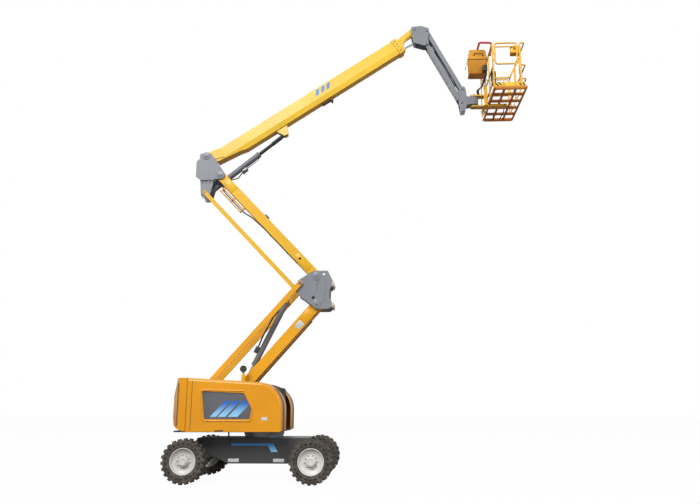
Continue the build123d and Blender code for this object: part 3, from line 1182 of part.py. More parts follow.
TOWER_FOOT = along(LOWER_FOOT, TOWER_CYLINDER_FOOT, LOWER_RISER_ANGLE)
TOWER_HEAD = along(LOWER_LINK_FOOT, TOWER_CYLINDER_HEAD, LOWER_RISER_ANGLE)
LIFT_FOOT = UPPER_LINK_PIN
LIFT_HEAD = along(along(BOOM_PIVOT, BRACKET_ALONG, BOOM_ANGLE), BRACKET_DROP, BOOM_ANGLE - 90)
LEVEL_FOOT = along(along(BOOM_PIVOT, LEVEL_FOOT_ALONG, BOOM_ANGLE), LEVEL_FOOT_DROP, BOOM_ANGLE - 90)
LEVEL_PIN = shifted(BOOM_TIP_PIN, LEVEL_HEAD)
CYLINDERS = {
    "tower_cylinder": (TOWER_HEAD, TOWER_FOOT, TOWER_BARREL_DIAMETER, TOWER_BARREL_LENGTH,
                       TOWER_ROD_DIAMETER,
                       TOWER_ROD_INSIDE, LINK_PIN_DIAMETER),
    "lift_cylinder": (LIFT_FOOT, LIFT_HEAD, LIFT_BARREL_DIAMETER, LIFT_BARREL_LENGTH, LIFT_ROD_DIAMETER,
                      LIFT_ROD_INSIDE, LINK_PIN_DIAMETER),
    "jib_cylinder": (JIB_BOOM_PIN, JIB_LINK_END, JIB_BARREL_DIAMETER, JIB_BARREL_LENGTH, JIB_ROD_DIAMETER,
                     JIB_ROD_INSIDE, JIB_PIN_DIAMETER),
    "level_cylinder": (LEVEL_FOOT, LEVEL_PIN, LEVEL_BARREL_DIAMETER, LEVEL_BARREL_LENGTH,
                       LEVEL_ROD_DIAMETER,
                       LEVEL_ROD_INSIDE, JIB_PIN_DIAMETER),
}


def cylinder_nodes():
    """Every hydraulic cylinder, as a barrel and a rod."""
    nodes = {}
    for name, (foot, head, diameter, length, rod_diameter, inside, pin) in CYLINDERS.items():
        rest_length, angle = span(foot, head)
        place = at(foot, angle)
        nodes[name + "_barrel"] = place * barrel(diameter, length, rod_diameter, pin)
        nodes[name + "_rod"] = place * plunger(rest_length, inside, length, rod_diameter, pin + EYE_WALL)
    return nodes


def wheel_nodes():
    """The four wheels, each a tyre and a rim at its own place."""
    nodes = {}
    tyre_shape, rim_shape = tyre(), rim()
    for end, x in (("fixed", WHEEL_X), ("steer", -WHEEL_X)):
        for side, way in (("left", 1), ("right", -1)):
            place = Pos(x, way * WHEEL_Y, WHEEL_Z)
            for name, shape in (("tyre", tyre_shape), ("rim", rim_shape)):
                facing = shape if way > 0 else mirror(shape, about=Plane.XZ)
                nodes[f"{name}_{end}_{side}"] = place * facing
    return nodes


def all_nodes():
    """Every node of the machine by name."""
    nodes = {
        "chassis_frame": chassis_frame(),
        "chassis_deck": chassis_deck(),
        "fixed_axle": fixed_axle(),
        "steer_axle": steer_axle(),
        "steer_cylinder": steer_cylinder(),
        "slew_lock": slew_lock(),
        "slew_ring_lower": slew_ring(True),
        "slew_ring_upper": slew_ring(False),
        "turntable_frame": turntable_frame(),
        "counterweight": counterweight(),
        "power_pack": power_pack(),
        "tank": tank(),
        "beacon_stand": beacon(),
        "beacon_lamp": beacon_lamp(),
        "lower_riser": lower_riser(),
        "lower_link": lower_link(),
        "lower_knuckle": lower_knuckle(),
        "upper_riser": upper_riser(),
        "upper_link": upper_link(),
        "upper_knuckle": upper_knuckle(),
        "boom_base": boom_base(),
        "boom_fly": boom_fly(),
        "jib_head": jib_head(),
        "jib_boom": jib_boom(),
        "jib_link": jib_link(),
        "jib_end": jib_end(),
        "platform_support": platform_support(),
        "platform_floor": platform_floor(),
        "platform_toe_boards": platform_toe_boards(),
        "platform_rail_inner": platform_rail_inner(),
        "platform_rail_outer": platform_rail_outer(),
        "platform_rail_end": platform_rail_end(),
        "platform_gate": platform_gate(),
        "control_console": control_console(),
        "safety_bar": safety_bar(),
    }
    for side, way in (("left", 1), ("right", -1)):
        nodes["steer_knuckle_" + side] = steer_knuckle(way)
        nodes["hood_" + side] = hood(way)
        nodes["hood_panel_" + side] = hood_panel(way)
        nodes["hood_band_" + side] = hood_band(way)
    nodes.update(wheel_nodes())
    nodes.update(cylinder_nodes())
    return nodes


os.makedirs("parts", exist_ok=True)
for name, shape in all_nodes().items():
    export_step(shape, f"parts/{name}.step")
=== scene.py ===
# %% [markdown]
# # An articulating boom lift
# The machine lifts people: a chassis on four wheels carries a turntable, and on it a tower of two
# parallelograms, a telescoping boom and a short jib hold a railed platform level in the air.
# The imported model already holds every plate, pin and cylinder in its place, in metres, so this
# lesson only dresses it: a finish for each surface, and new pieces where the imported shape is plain.

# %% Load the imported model
import math

import bpy
from mathutils import Matrix, Vector


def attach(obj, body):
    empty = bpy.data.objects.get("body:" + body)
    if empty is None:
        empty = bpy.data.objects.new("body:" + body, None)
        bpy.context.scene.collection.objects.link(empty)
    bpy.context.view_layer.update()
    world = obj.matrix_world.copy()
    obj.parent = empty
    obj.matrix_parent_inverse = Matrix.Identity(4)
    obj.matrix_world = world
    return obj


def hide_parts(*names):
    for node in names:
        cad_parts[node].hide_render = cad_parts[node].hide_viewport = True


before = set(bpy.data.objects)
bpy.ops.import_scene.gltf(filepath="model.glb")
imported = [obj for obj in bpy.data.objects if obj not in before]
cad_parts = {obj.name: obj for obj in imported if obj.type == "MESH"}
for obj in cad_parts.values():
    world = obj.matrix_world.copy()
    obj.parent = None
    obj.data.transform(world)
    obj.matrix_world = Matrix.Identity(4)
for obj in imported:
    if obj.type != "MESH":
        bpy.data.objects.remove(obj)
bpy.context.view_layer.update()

# %% [markdown]
# ## Camera
# The photograph was taken from the near side, a little to the right of the machine, at eye height
# and tilted up. A camera turns about its own X axis to look up, and about Z to look sideways,
# so a place, a pitch and a heading are all it needs. The lens follows from how large things look.

# %% Set the camera where the photograph was taken
CAMERA_PLACE = (2.742, -15.263, 1.521)
CAMERA_PITCH = math.radians(13.368)
CAMERA_HEADING = math.radians(2.499)
bpy.ops.object.camera_add(location=CAMERA_PLACE, rotation=(math.pi / 2 + CAMERA_PITCH, 0, CAMERA_HEADING))
camera = bpy.context.object
camera.data.sensor_width = 36
camera.data.lens = 33.91
camera.data.clip_end = 300
bpy.context.scene.camera = camera
bpy.context.scene.view_settings.view_transform = "Standard"
print("camera at", tuple(camera.location))

# %% [markdown]
# ## Shader sums
# A finish is a small program made of nodes. Writing each Math node by hand hides the idea, so a
# wire, one output of a node, takes part in Python sums: `1 - mask` or `dust * height` adds the
# nodes that work it out. One method makes any other node from its type, settings and sockets.

# %% A wire that does sums, and a finish that makes nodes
class Wire:
    """One output of a shader node. Python's signs on wires add the Math nodes that work them out."""

    def __init__(self, finish, socket):
        self.finish = finish
        self.socket = socket

    def sum(self, operation, *values):
        node = self.finish.node("ShaderNodeMath", {"operation": operation}, dict(enumerate(values)))
        return Wire(self.finish, node.outputs[0])

    def __add__(self, other):
        return self.sum("ADD", self, other)

    def __sub__(self, other):
        return self.sum("SUBTRACT", self, other)

    def __rsub__(self, other):
        return self.sum("SUBTRACT", other, self)

    def __mul__(self, other):
        return self.sum("MULTIPLY", self, other)

    def __gt__(self, other):
        return self.sum("GREATER_THAN", self, other)

    def __lt__(self, other):
        return self.sum("LESS_THAN", self, other)

    def __mod__(self, other):
        return self.sum("FLOORED_MODULO", self, other)

    def __abs__(self):
        return self.sum("ABSOLUTE", self)

    __radd__ = __add__
    __rmul__ = __mul__

    def ease(self, low, high):
        """0 below low, 1 above high, and smooth between them."""
        sockets = {"Value": self, "From Min": low, "From Max": high}
        node = self.finish.node("ShaderNodeMapRange", {"interpolation_type": "SMOOTHSTEP"}, sockets)
        return Wire(self.finish, node.outputs[0])


class Finish:
    """A material in the making: its Principled shader and the nodes that feed it."""

    def __init__(self, name, **constants):
        self.material = bpy.data.materials.new(name)
        self.material.use_nodes = True
        self.tree = self.material.node_tree
        self.shader = self.tree.nodes["Principled BSDF"]
        for key, value in constants.items():
            self.shader.inputs[key.replace("_", " ")].default_value = value
        self.place = self.node("ShaderNodeTexCoord").outputs["Object"]
        self.surface = self.node("ShaderNodeNewGeometry").outputs["Normal"]
        self.relief = None

    def node(self, kind, settings={}, sockets={}):
        made = self.tree.nodes.new(kind)
        for key, value in settings.items():
            setattr(made, key, value)
        for key, value in sockets.items():
            if isinstance(value, Wire):
                value = value.socket
            if isinstance(value, bpy.types.NodeSocket):
                self.tree.links.new(value, made.inputs[key])
            else:
                made.inputs[key].default_value = value
        return made

    def axes(self, socket=None):
        """X, Y and Z of the surface's place, or of another vector."""
        node = self.node("ShaderNodeSeparateXYZ", {}, {0: socket or self.place})
        return [Wire(self, out) for out in node.outputs]

    def noise(self, scale, detail=3.0, stretch=(1, 1, 1)):
        place = self.node("ShaderNodeMapping", {}, {"Vector": self.place, "Scale": stretch}).outputs[0]
        sockets = {"Vector": place, "Scale": scale, "Detail": detail}
        return Wire(self, self.node("ShaderNodeTexNoise", {}, sockets).outputs[0])

    def mix(self, mask, below, above):
        """A colour between two colours."""
        sockets = {0: mask, 6: below, 7: above}
        node = self.node("ShaderNodeMix", {"data_type": "RGBA"}, sockets)
        return node.outputs[2]

    def edges(self, radius):
        """1 along sharp edges. The rounded normal found there also softens the edges' shading."""
        bevel = self.node("ShaderNodeBevel", {"samples": 4}, {"Radius": radius})
        self.relief = bevel.outputs[0]
        dot = self.node("ShaderNodeVectorMath", {"operation": "DOT_PRODUCT"}, {0: self.relief, 1: self.surface})
        return (1 - Wire(self, dot.outputs["Value"])).ease(0.03, 0.25)

    def bump(self, height, strength, distance=0.002):
        sockets = {"Height": height, "Strength": strength, "Distance": distance}
        if self.relief:
            sockets["Normal"] = self.relief
        self.relief = self.node("ShaderNodeBump", {}, sockets).outputs[0]

    def feed(self, **sockets):
        """Links the shader's sockets, and gives back the finished material."""
        if self.relief:
            sockets["Normal"] = self.relief
        for key, value in sockets.items():
            socket = value.socket if isinstance(value, Wire) else value
            self.tree.links.new(socket, self.shader.inputs[key.replace("_", " ")])
        return self.material


def shade(colour, times):
    """A colour made darker or lighter, with its alpha."""
    return (*[min(1.0, part * times) for part in colour], 1.0)


print("shader sums ready")

# %% [markdown]
# ## Paint
# Every painted plate of the machine is sprayed: the colour drifts a little over a large plate, the
# film has an orange-peel skin, edges are rubbed to a darker primer, dust settles on faces that look
# up and rain draws faint streaks down upright ones. Faces that look down are darkened towards brown:
# this is painted shade for the shadow under them, with some oily dirt in it. One recipe makes all the
# paints, and numbers say how glossy and how dirty each one is. The pattern is in metres.

# %% The paint recipe
DUST = (0.42, 0.36, 0.28)


def paint_parts(name, colour, rough, dust, worn, coat=0.15):
    """The pieces that every paint shares: its finish, its colour with dirt and painted underside shade, and its
    roughness.
    """
    film = Finish(name, Coat_Roughness=0.15, Coat_Weight=coat, Specular_IOR_Level=0.3)
    drift = film.noise(0.9, 4).ease(0.3, 0.7)
    colour_now = film.mix(drift, shade(colour, 0.93), shade(colour, 1.05))
    streak = film.noise(1.0, 5, (9, 9, 0.55)).ease(0.52, 0.78) * 0.22
    colour_now = film.mix(streak * dust, colour_now, shade(colour, 0.55))
    upward = film.axes(film.surface)[2].ease(0.35, 0.95)
    settled = upward * film.noise(5.5, 6).ease(0.35, 0.75) * dust
    colour_now = film.mix(settled, colour_now, (*DUST, 1))
    # Painted shade with some oily dirt: faces that look down are mixed towards a darker brown copy of the
    # paint, for the shadow that falls under them.
    below = (0 - film.axes(film.surface)[2]).ease(0.1, 0.9) * (film.noise(2.5, 4) * 0.5 + 0.45)
    underside_shade_and_grime = (colour[0] * 0.55, colour[1] * 0.36, colour[2] * 0.5, 1)
    colour_now = film.mix(below, colour_now, underside_shade_and_grime)
    chips = film.edges(0.007) * film.noise(34, 4).ease(0.5, 0.6) * worn
    colour_now = film.mix(chips, colour_now, shade(colour, 0.3))
    film.bump(film.noise(260, 2), 0.05, 0.001)
    grain = film.noise(3.5, 4) * 0.14 + (rough - 0.07)
    return film, colour_now, grain + settled * 0.35 + chips * 0.2


def paint(name, colour, rough=0.36, dust=0.3, worn=0.5, coat=0.15):
    film, colour_now, grain = paint_parts(name, colour, rough, dust, worn, coat)
    return film.feed(Base_Color=colour_now, Roughness=grain)


AMBER = (0.80, 0.375, 0.010)
BOOM_YELLOW = (0.84, 0.53, 0.045)
RISER_YELLOW = (0.80, 0.44, 0.012)
# The platform floor is yellow like the rest of the platform; its colour here is that yellow darkened to
# orange-brown, painted shade for a floor seen only from below.
FLOOR_SHADED_YELLOW = (0.56, 0.205, 0.022)
BLUE_GREY = (0.232, 0.242, 0.264)
CHARCOAL = (0.062, 0.062, 0.063)
amber_paint = paint("amber_paint", AMBER)
riser_paint = paint("riser_paint", RISER_YELLOW)
boom_paint = paint("boom_paint", BOOM_YELLOW, dust=0.2)
hood_paint = paint("hood_paint", (0.80, 0.325, 0.008), 0.28, 0.2, 0.15, 0.3)
blue_grey_paint = paint("blue_grey_paint", BLUE_GREY, 0.38)
barrel_paint = paint("barrel_paint", (0.150, 0.156, 0.168), 0.34)
platform_paint = paint("platform_paint", (0.82, 0.46, 0.035), 0.34, 0.2, 0.6)
# Painted shade: the floor's paint is the platform yellow darkened to brown.
floor_shaded_paint = paint("floor_shaded_paint", FLOOR_SHADED_YELLOW, 0.42, 0.2, 0.6)
print("paints:", [m.name for m in bpy.data.materials if m.name.endswith("_paint")])


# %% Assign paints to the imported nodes
def dress(finish, *names):
    for name in names:
        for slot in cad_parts[name].material_slots:
            slot.material = finish


dress(amber_paint, "lower_riser", "lower_link", "beacon_stand")
dress(riser_paint, "upper_riser", "upper_link")
dress(floor_shaded_paint, "platform_floor")
dress(boom_paint, "boom_fly")
dress(hood_paint, "hood_left", "hood_right", "counterweight")
dress(blue_grey_paint, "lower_knuckle", "upper_knuckle", "jib_head", "jib_boom", "jib_link", "jib_end")
dress(barrel_paint, *[name + "_cylinder_barrel" for name in ("tower", "lift", "jib", "level")])
dress(platform_paint, "platform_support", "platform_gate", "control_console",
      "platform_rail_inner", "platform_rail_outer", "platform_rail_end")

# %% [markdown]
# ## Chassis paint with a plain stripe
# The chassis is dark grey with one blue stripe on each side: a thin bar that steps down into a
# slanted end. The stripe is paint too, so it belongs in the finish. A mask of four straight edges,
# each a comparison of X and Z, is exact and needs no picture.

# %% Chassis paint
chassis_film, chassis_colour, chassis_grain = paint_parts("chassis_paint", CHARCOAL, 0.42, 0.5, 0.6, 0.1)
x, y, z = chassis_film.axes()
slant = x + (z - 0.80) * 0.55
bar = (z > 0.745) * (z < 0.795) * (x > -0.47) * (slant < 0.44)
foot = (z > 0.615) * (z < 0.795) * (slant > 0.30) * (slant < 0.44)
stripe = (bar + foot).ease(0.2, 0.8) * (abs(y) > 0.548)
shine = chassis_film.mix(z.ease(0.6, 0.8), (0.30, 0.62, 0.86, 1), (0.03, 0.21, 0.55, 1))
chassis_colour = chassis_film.mix(stripe, chassis_colour, shine)
chassis_paint = chassis_film.feed(Base_Color=chassis_colour, Roughness=chassis_grain)
charcoal_paint = paint("charcoal_paint", CHARCOAL, 0.42, 0.5, 0.6, 0.1)
dress(chassis_paint, "chassis_frame", "chassis_deck")
dress(charcoal_paint, "fixed_axle", "steer_axle", "slew_lock", "steer_knuckle_left", "steer_knuckle_right",
      "turntable_frame")
print("chassis painted")

# %% [markdown]
# ## Metals, plastics and rubber
# A hydraulic rod is hard chrome: smooth, bright, with fine rings from grinding. Machined steel is
# duller and brushed. Moulded plastic has a fine grain, and cast metal a coarse one.
# Rubber is dull, with pale dust in it, and most dust sits low down near the ground. Bellows cover
# the lift rod in the photograph, so that rod has the look of rubber.

# %% Chrome, steel, plastic, cast and rubber finishes
def metal(name, colour, rough, grain_scale, grain):
    film = Finish(name, Metallic=1.0)
    smear = film.noise(4, 5).ease(0.3, 0.75)
    tone = film.mix(smear, shade(colour, 0.86), shade(colour, 1.05))
    film.edges(0.004)
    film.bump(film.noise(grain_scale, 2, (1, 1, 6)), grain, 0.0006)
    return film.feed(Base_Color=tone, Roughness=smear * 0.12 + rough)


def moulded(name, colour, rough, grain_scale, grain, dust=0.2):
    film = Finish(name)
    cloud = film.noise(2.2, 5).ease(0.3, 0.7)
    tone = film.mix(cloud, shade(colour, 0.85), shade(colour, 1.12))
    settled = film.axes(film.surface)[2].ease(0.3, 0.95) * film.noise(6, 6).ease(0.4, 0.75) * dust
    tone = film.mix(settled, tone, (*DUST, 1))
    film.edges(0.005)
    film.bump(film.noise(grain_scale, 3), grain, 0.0015)
    return film.feed(Base_Color=tone, Roughness=cloud * 0.12 + rough + settled * 0.2)


rod_chrome = metal("rod_chrome", (0.72, 0.73, 0.76), 0.10, 90, 0.03)
ring_steel = metal("ring_steel", (0.30, 0.30, 0.31), 0.38, 150, 0.08)
pin_steel = metal("pin_steel", (0.16, 0.16, 0.17), 0.36, 120, 0.08)
panel_plastic = moulded("panel_plastic", (0.055, 0.056, 0.060), 0.36, 300, 0.06, 0.1)
black_plastic = moulded("black_plastic", (0.022, 0.022, 0.024), 0.42, 260, 0.08)
tank_plastic = moulded("tank_plastic", (0.045, 0.045, 0.05), 0.5, 200, 0.1)
engine_alloy = metal("engine_alloy", (0.32, 0.32, 0.33), 0.5, 60, 0.25)
hose_rubber = moulded("hose_rubber", (0.018, 0.018, 0.019), 0.5, 180, 0.12)
pad_foam = moulded("pad_foam", (0.50, 0.035, 0.035), 0.6, 140, 0.15)
rim_paint = paint("rim_paint", (0.66, 0.65, 0.61), 0.36, 0.35, 0.4)

dress(rod_chrome, *[name + "_cylinder_rod" for name in ("tower", "jib", "level")])
dress(hose_rubber, "lift_cylinder_rod")
dress(ring_steel, "slew_ring_lower", "slew_ring_upper", "steer_cylinder")
dress(panel_plastic, "hood_band_left", "hood_band_right")
dress(black_plastic, "beacon_lamp")
dress(tank_plastic, "tank")
dress(engine_alloy, "power_pack")
dress(pad_foam, "safety_bar")
print("finishes:", len(bpy.data.materials))

# %% [markdown]
# ## Tools of the bench
# New pieces start from a primitive with nothing else selected, are shaped in edit mode, and end
# with their place in the mesh and the object at the origin. These helpers do the steps that every
# piece repeats: begin, draw a line of points, pick faces by a rule, apply a modifier, finish.

# %% Bench helpers
def begin(name, primitive, **how):
    bpy.ops.object.select_all(action="DESELECT")
    primitive(**how)
    piece = bpy.context.object
    piece.name = name
    piece.data.name = name
    return piece


def edit():
    bpy.ops.object.mode_set(mode="EDIT")


def leave():
    bpy.ops.object.mode_set(mode="OBJECT")


def pick(piece, rule):
    """Selects, in edit mode, the faces whose middle and normal meet the rule."""
    bpy.ops.mesh.select_mode(type="FACE")
    bpy.ops.mesh.select_all(action="DESELECT")
    leave()
    for face in piece.data.polygons:
        face.select = rule(face.center, face.normal)
    edit()


def modify(piece, kind, **settings):
    modifier = piece.modifiers.new(kind, kind)
    for key, value in settings.items():
        setattr(modifier, key, value)
    bpy.context.view_layer.objects.active = piece
    bpy.ops.object.modifier_apply(modifier=modifier.name)


def soften(piece, width, segments=2):
    """Rounds the sharp edges and smooths the shading."""
    modify(piece, "BEVEL", width=width, segments=segments, limit_method="ANGLE",
           angle_limit=math.radians(35))
    bpy.ops.object.select_all(action="DESELECT")
    piece.select_set(True)
    bpy.context.view_layer.objects.active = piece
    bpy.ops.object.shade_smooth_by_angle(angle=math.radians(40))


def draw(name, points):
    """A line of vertices through the points, drawn by extruding one vertex, left open in edit mode."""
    points = [Vector(point) for point in points]
    piece = begin(name, bpy.ops.mesh.primitive_plane_add, size=0.01)
    edit()
    bpy.ops.mesh.select_all(action="SELECT")
    bpy.ops.mesh.merge(type="CENTER")
    bpy.ops.mesh.select_mode(type="VERT")
    bpy.ops.mesh.select_all(action="SELECT")
    bpy.ops.transform.translate(value=points[0])
    for last, point in zip(points, points[1:]):
        bpy.ops.mesh.extrude_vertices_move(TRANSFORM_OT_translate={"value": point - last})
    bpy.ops.mesh.select_all(action="SELECT")
    return piece


def tidy():
    """Merges doubles and turns faces outwards, in edit mode, then leaves it."""
    bpy.ops.mesh.select_all(action="SELECT")
    bpy.ops.mesh.remove_doubles(threshold=0.00005)
    bpy.ops.mesh.normals_make_consistent(inside=False)
    leave()


def lathe(name, profile, steps):
    """A round piece about the Y axis, from (radius, y) points, spun up in one turn."""
    piece = draw(name, [(radius, y, 0) for radius, y in profile])
    bpy.ops.mesh.spin(steps=steps, angle=2 * math.pi, center=(0, 0, 0), axis=(0, 1, 0))
    tidy()
    return piece


def prism(name, corners, depth):
    """A plate with its outline in X and Z, from y = 0 to y = depth."""
    piece = draw(name, [(px, 0, pz) for px, pz in corners])
    bpy.ops.mesh.edge_face_add()
    bpy.ops.mesh.extrude_region_move(TRANSFORM_OT_translate={"value": (0, depth, 0)})
    tidy()
    return piece


def settle(piece, place):
    """Puts a matrix into the mesh, so the object stays at the origin; a mirrored one is turned outwards."""
    piece.data.transform(place)
    if place.determinant() < 0:
        piece.data.flip_normals()
    return piece


def copy(piece, name, place):
    """A copy with its own mesh, put in place."""
    twin = piece.copy()
    twin.data = piece.data.copy()
    twin.name = name
    twin.data.name = name
    bpy.context.scene.collection.objects.link(twin)
    return settle(twin, place)


def join(pieces, name):
    bpy.ops.object.select_all(action="DESELECT")
    for piece in pieces:
        piece.select_set(True)
    bpy.context.view_layer.objects.active = pieces[0]
    bpy.ops.object.join()
    pieces[0].name = name
    pieces[0].data.name = name
    return pieces[0]


def discard(piece):
    bpy.data.objects.remove(piece, do_unlink=True)


def coat(piece, finish, body):
    piece.data.materials.clear()
    piece.data.materials.append(finish)
    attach(piece, body)
    return piece


print("bench ready")

# %% [markdown]
# ## Tyres
# The solid tyres have staggered shoulder lugs and a ring of moulded holes in each side wall. A whole
# tyre is the same slice many times, so one slice is spun from the side-wall profile, its lug faces are
# extruded and its holes inset, and the slice is then spun round the axle and welded.

# %% Tyre rubber
def rubber(name):
    film = Finish(name)
    x, y, z = film.axes()
    cloud = film.noise(3.2, 6).ease(0.3, 0.72)
    tone = film.mix(cloud, (0.040, 0.034, 0.029, 1), (0.088, 0.074, 0.062, 1))
    caked = film.noise(9, 8).ease(0.45, 0.72) * (0.75 - z.ease(0.0, 1.1) * 0.45)
    tone = film.mix(caked * 0.6, tone, (0.22, 0.18, 0.14, 1))
    film.edges(0.006)
    film.bump(film.noise(120, 4), 0.18, 0.002)
    return film.feed(Base_Color=tone, Roughness=cloud * 0.15 + 0.72)


tyre_rubber = rubber("tyre_rubber")

# %% One slice of tyre, spun into a whole
TYRE_TOP = 0.457
TYRE_HALF = 0.178
CROWN = 0.425
BEAD = 0.254
BEAD_HALF = 0.148
LUGS = 22
LUG_STEPS = 8
HOLE_RADIUS = 0.352


def tyre_slice():
    """A slice one lug wide, its steps counted in eighths of a pitch."""
    side = [(BEAD, BEAD_HALF), (0.282, BEAD_HALF), (0.300, 0.170), (0.336, 0.174), (0.368, 0.174),
            (0.384, 0.172), (0.400, 0.171), (CROWN, 0.160), (CROWN, 0.100), (CROWN, 0.046), (CROWN, 0.0)]
    profile = side + [(radius, -y) for radius, y in reversed(side[:-1])] + side[:1]
    pitch = 2 * math.pi / LUGS
    piece = draw("tyre_slice", [(radius, y, 0) for radius, y in profile])
    bpy.ops.mesh.spin(steps=LUG_STEPS, angle=pitch, center=(0, 0, 0), axis=(0, 1, 0))
    tidy()
    return piece, pitch


def turn_of(centre, pitch):
    """How far round the slice a point lies, from 0 to 1, whichever way the spin went."""
    return abs(math.atan2(centre.z, centre.x)) / pitch


def raise_lugs(piece, pitch):
    """Extrudes a lug on each shoulder: one row in the slice's first half, the other in its second."""
    edit()
    for way, start in ((1, 0.0), (-1, 0.5)):
        pick(piece, lambda c, n: math.hypot(c.x, c.z) > 0.388 and way * c.y > 0.05
             and start <= turn_of(c, pitch) < start + 0.5)
        bpy.ops.mesh.extrude_region_move(TRANSFORM_OT_translate={"value": (0, 0, 0)})
        bpy.ops.transform.resize(value=(TYRE_TOP / CROWN, 1.04, TYRE_TOP / CROWN), center_override=(0, 0, 0))
    leave()


def sink_holes(piece, pitch):
    """Insets and sinks a hole in each side wall."""
    edit()
    pick(piece, lambda c, n: abs(math.hypot(c.x, c.z) - HOLE_RADIUS) < 0.012 and abs(c.y) > 0.165
         and 0.3 < turn_of(c, pitch) < 0.7)
    bpy.ops.mesh.extrude_region_move(TRANSFORM_OT_translate={"value": (0, 0, 0)})
    bpy.ops.transform.resize(value=(1, 0.86, 1), center_override=(0, 0, 0))
    leave()


tyre, pitch = tyre_slice()
raise_lugs(tyre, pitch)
sink_holes(tyre, pitch)
edit()
bpy.ops.mesh.select_all(action="SELECT")
bpy.ops.mesh.spin(steps=LUGS, angle=2 * math.pi, dupli=True, center=(0, 0, 0), axis=(0, 1, 0))
tidy()
soften(tyre, 0.0035, 1)
print("tyre faces:", len(tyre.data.polygons), "size:", tuple(tyre.dimensions))

# %% [markdown]
# ## Wheels
# Each rim is a welded dish: a bright rolled lip, a deep well, a cone down to the hub and an
# eight-sided hub cap ringed by studs. The dish is one line spun round; the cap is a cylinder with
# eight sides, inset and raised; and one stud is modelled and copied round the hub.

# %% Rim, hub cap and studs
STUDS = 10
STUD_CIRCLE = 0.134


def rim_dish():
    profile = [(0.2735, -0.164), (0.2735, -0.150), (0.2535, -0.1482), (0.2535, 0.1482), (0.2735, 0.150),
               (0.2735, 0.162), (0.268, 0.165), (0.258, 0.163), (0.252, 0.150), (0.246, 0.118),
               (0.236, 0.100), (0.205, 0.090), (0.168, 0.074), (0.118, 0.066), (0.112, 0.070),
               (0.108, 0.106), (0.0, 0.106)]
    back = [(0.0, 0.052), (0.108, 0.052), (0.236, 0.072), (0.240, -0.150), (0.2735, -0.164)]
    return lathe("rim_dish", profile + back, 72)


def hub_cap():
    piece = begin("hub_cap", bpy.ops.mesh.primitive_cylinder_add, vertices=8, radius=0.098, depth=0.05,
                  location=(0, 0.125, 0), rotation=(math.pi / 2, math.pi / 8, 0))
    bpy.ops.object.transform_apply()
    edit()
    pick(piece, lambda c, n: n.y > 0.9)
    bpy.ops.mesh.inset(thickness=0.022)
    bpy.ops.mesh.extrude_region_move(TRANSFORM_OT_translate={"value": (0, 0.014, 0)})
    bpy.ops.mesh.inset(thickness=0.016)
    bpy.ops.mesh.extrude_region_move(TRANSFORM_OT_translate={"value": (0, -0.008, 0)})
    leave()
    return piece


def stud():
    piece = begin("stud", bpy.ops.mesh.primitive_cylinder_add, vertices=6, radius=0.017, depth=0.022,
                  location=(0, 0.078, STUD_CIRCLE), rotation=(math.pi / 2, 0, 0))
    bpy.ops.object.transform_apply()
    edit()
    pick(piece, lambda c, n: n.y > 0.9)
    bpy.ops.mesh.inset(thickness=0.008)
    bpy.ops.mesh.extrude_region_move(TRANSFORM_OT_translate={"value": (0, 0.014, 0)})
    leave()
    return piece


nut = stud()
ring = [copy(nut, "nut", Matrix.Rotation(step * 2 * math.pi / STUDS, 4, "Y")) for step in range(STUDS)]
discard(nut)
rim = join([rim_dish(), hub_cap(), *ring], "rim")
soften(rim, 0.002, 1)
print("rim faces:", len(rim.data.polygons))

# %% Place the four wheels
WHEEL_X = 1.325
WHEEL_Y = 1.067
for end, x in (("fixed", WHEEL_X), ("steer", -WHEEL_X)):
    for side, way in (("left", 1), ("right", -1)):
        name = f"{end}_{side}"
        spin = Matrix.Rotation(0.31 * x * way, 4, "Y")
        place = Matrix.Translation((x, way * WHEEL_Y, TYRE_TOP)) @ Matrix.Diagonal((1, way, 1, 1))
        wheel_tyre = coat(copy(tyre, "tyre_" + name + "_lugged", place), tyre_rubber, "wheel_" + name)
        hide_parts("tyre_" + name)
        wheel_rim = coat(copy(rim, "rim_" + name + "_dished", place @ spin), rim_paint, "wheel_" + name)
        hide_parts("rim_" + name)
discard(tyre)
discard(rim)
print("four wheels on")

# %% [markdown]
# ## Steelwork
# Most of what is still missing is plain steel: blocks, round bosses, plates, and tubes bent cold round
# a former. A bent tube is a path whose corners are rounded, given a round section and made a mesh.
# Each arm has a frame of its own: its X axis runs along the arm from its first pin.

# %% Helpers for steelwork
def block(name, low, high, soft=0.004):
    """A box between two corners, its edges rounded."""
    middle = [(a + b) / 2 for a, b in zip(low, high)]
    piece = begin(name, bpy.ops.mesh.primitive_cube_add, size=1, location=middle)
    piece.scale = [b - a for a, b in zip(low, high)]
    bpy.ops.object.transform_apply()
    soften(piece, soft)
    return piece


def disc(name, middle, radius, y0, y1, sides=32, soft=0.003):
    """A round plate or boss along Y, about a point of the XZ plane."""
    piece = begin(name, bpy.ops.mesh.primitive_cylinder_add, vertices=sides, radius=radius,
                  depth=abs(y1 - y0), location=(middle[0], (y0 + y1) / 2, middle[1]),
                  rotation=(math.pi / 2, 0, 0))
    bpy.ops.object.transform_apply()
    soften(piece, soft)
    return piece


def slab_of(name, corners, y0, y1, soft=0.003):
    """A flat plate with its outline in X and Z, from y0 to y1."""
    piece = settle(prism(name, corners, y1 - y0), Matrix.Translation((0, y0, 0)))
    soften(piece, soft)
    return piece


def rounded(points, bend, closed=False, steps=6):
    """A path through the points, with each corner turned on a curve."""
    points = [Vector(point) for point in points]
    count = len(points)
    path = [] if closed else [points[0]]
    for index in range(count) if closed else range(1, count - 1):
        corner = points[index]
        back = (points[index - 1] - corner).normalized()
        on = (points[(index + 1) % count] - corner).normalized()
        reach = bend / math.tan(back.angle(on) / 2)
        start, end = corner + back * reach, corner + on * reach
        for step in range(steps + 1):
            share = step / steps
            path.append(start.lerp(corner, share).lerp(corner.lerp(end, share), share))
    return path if closed else path + [points[-1]]


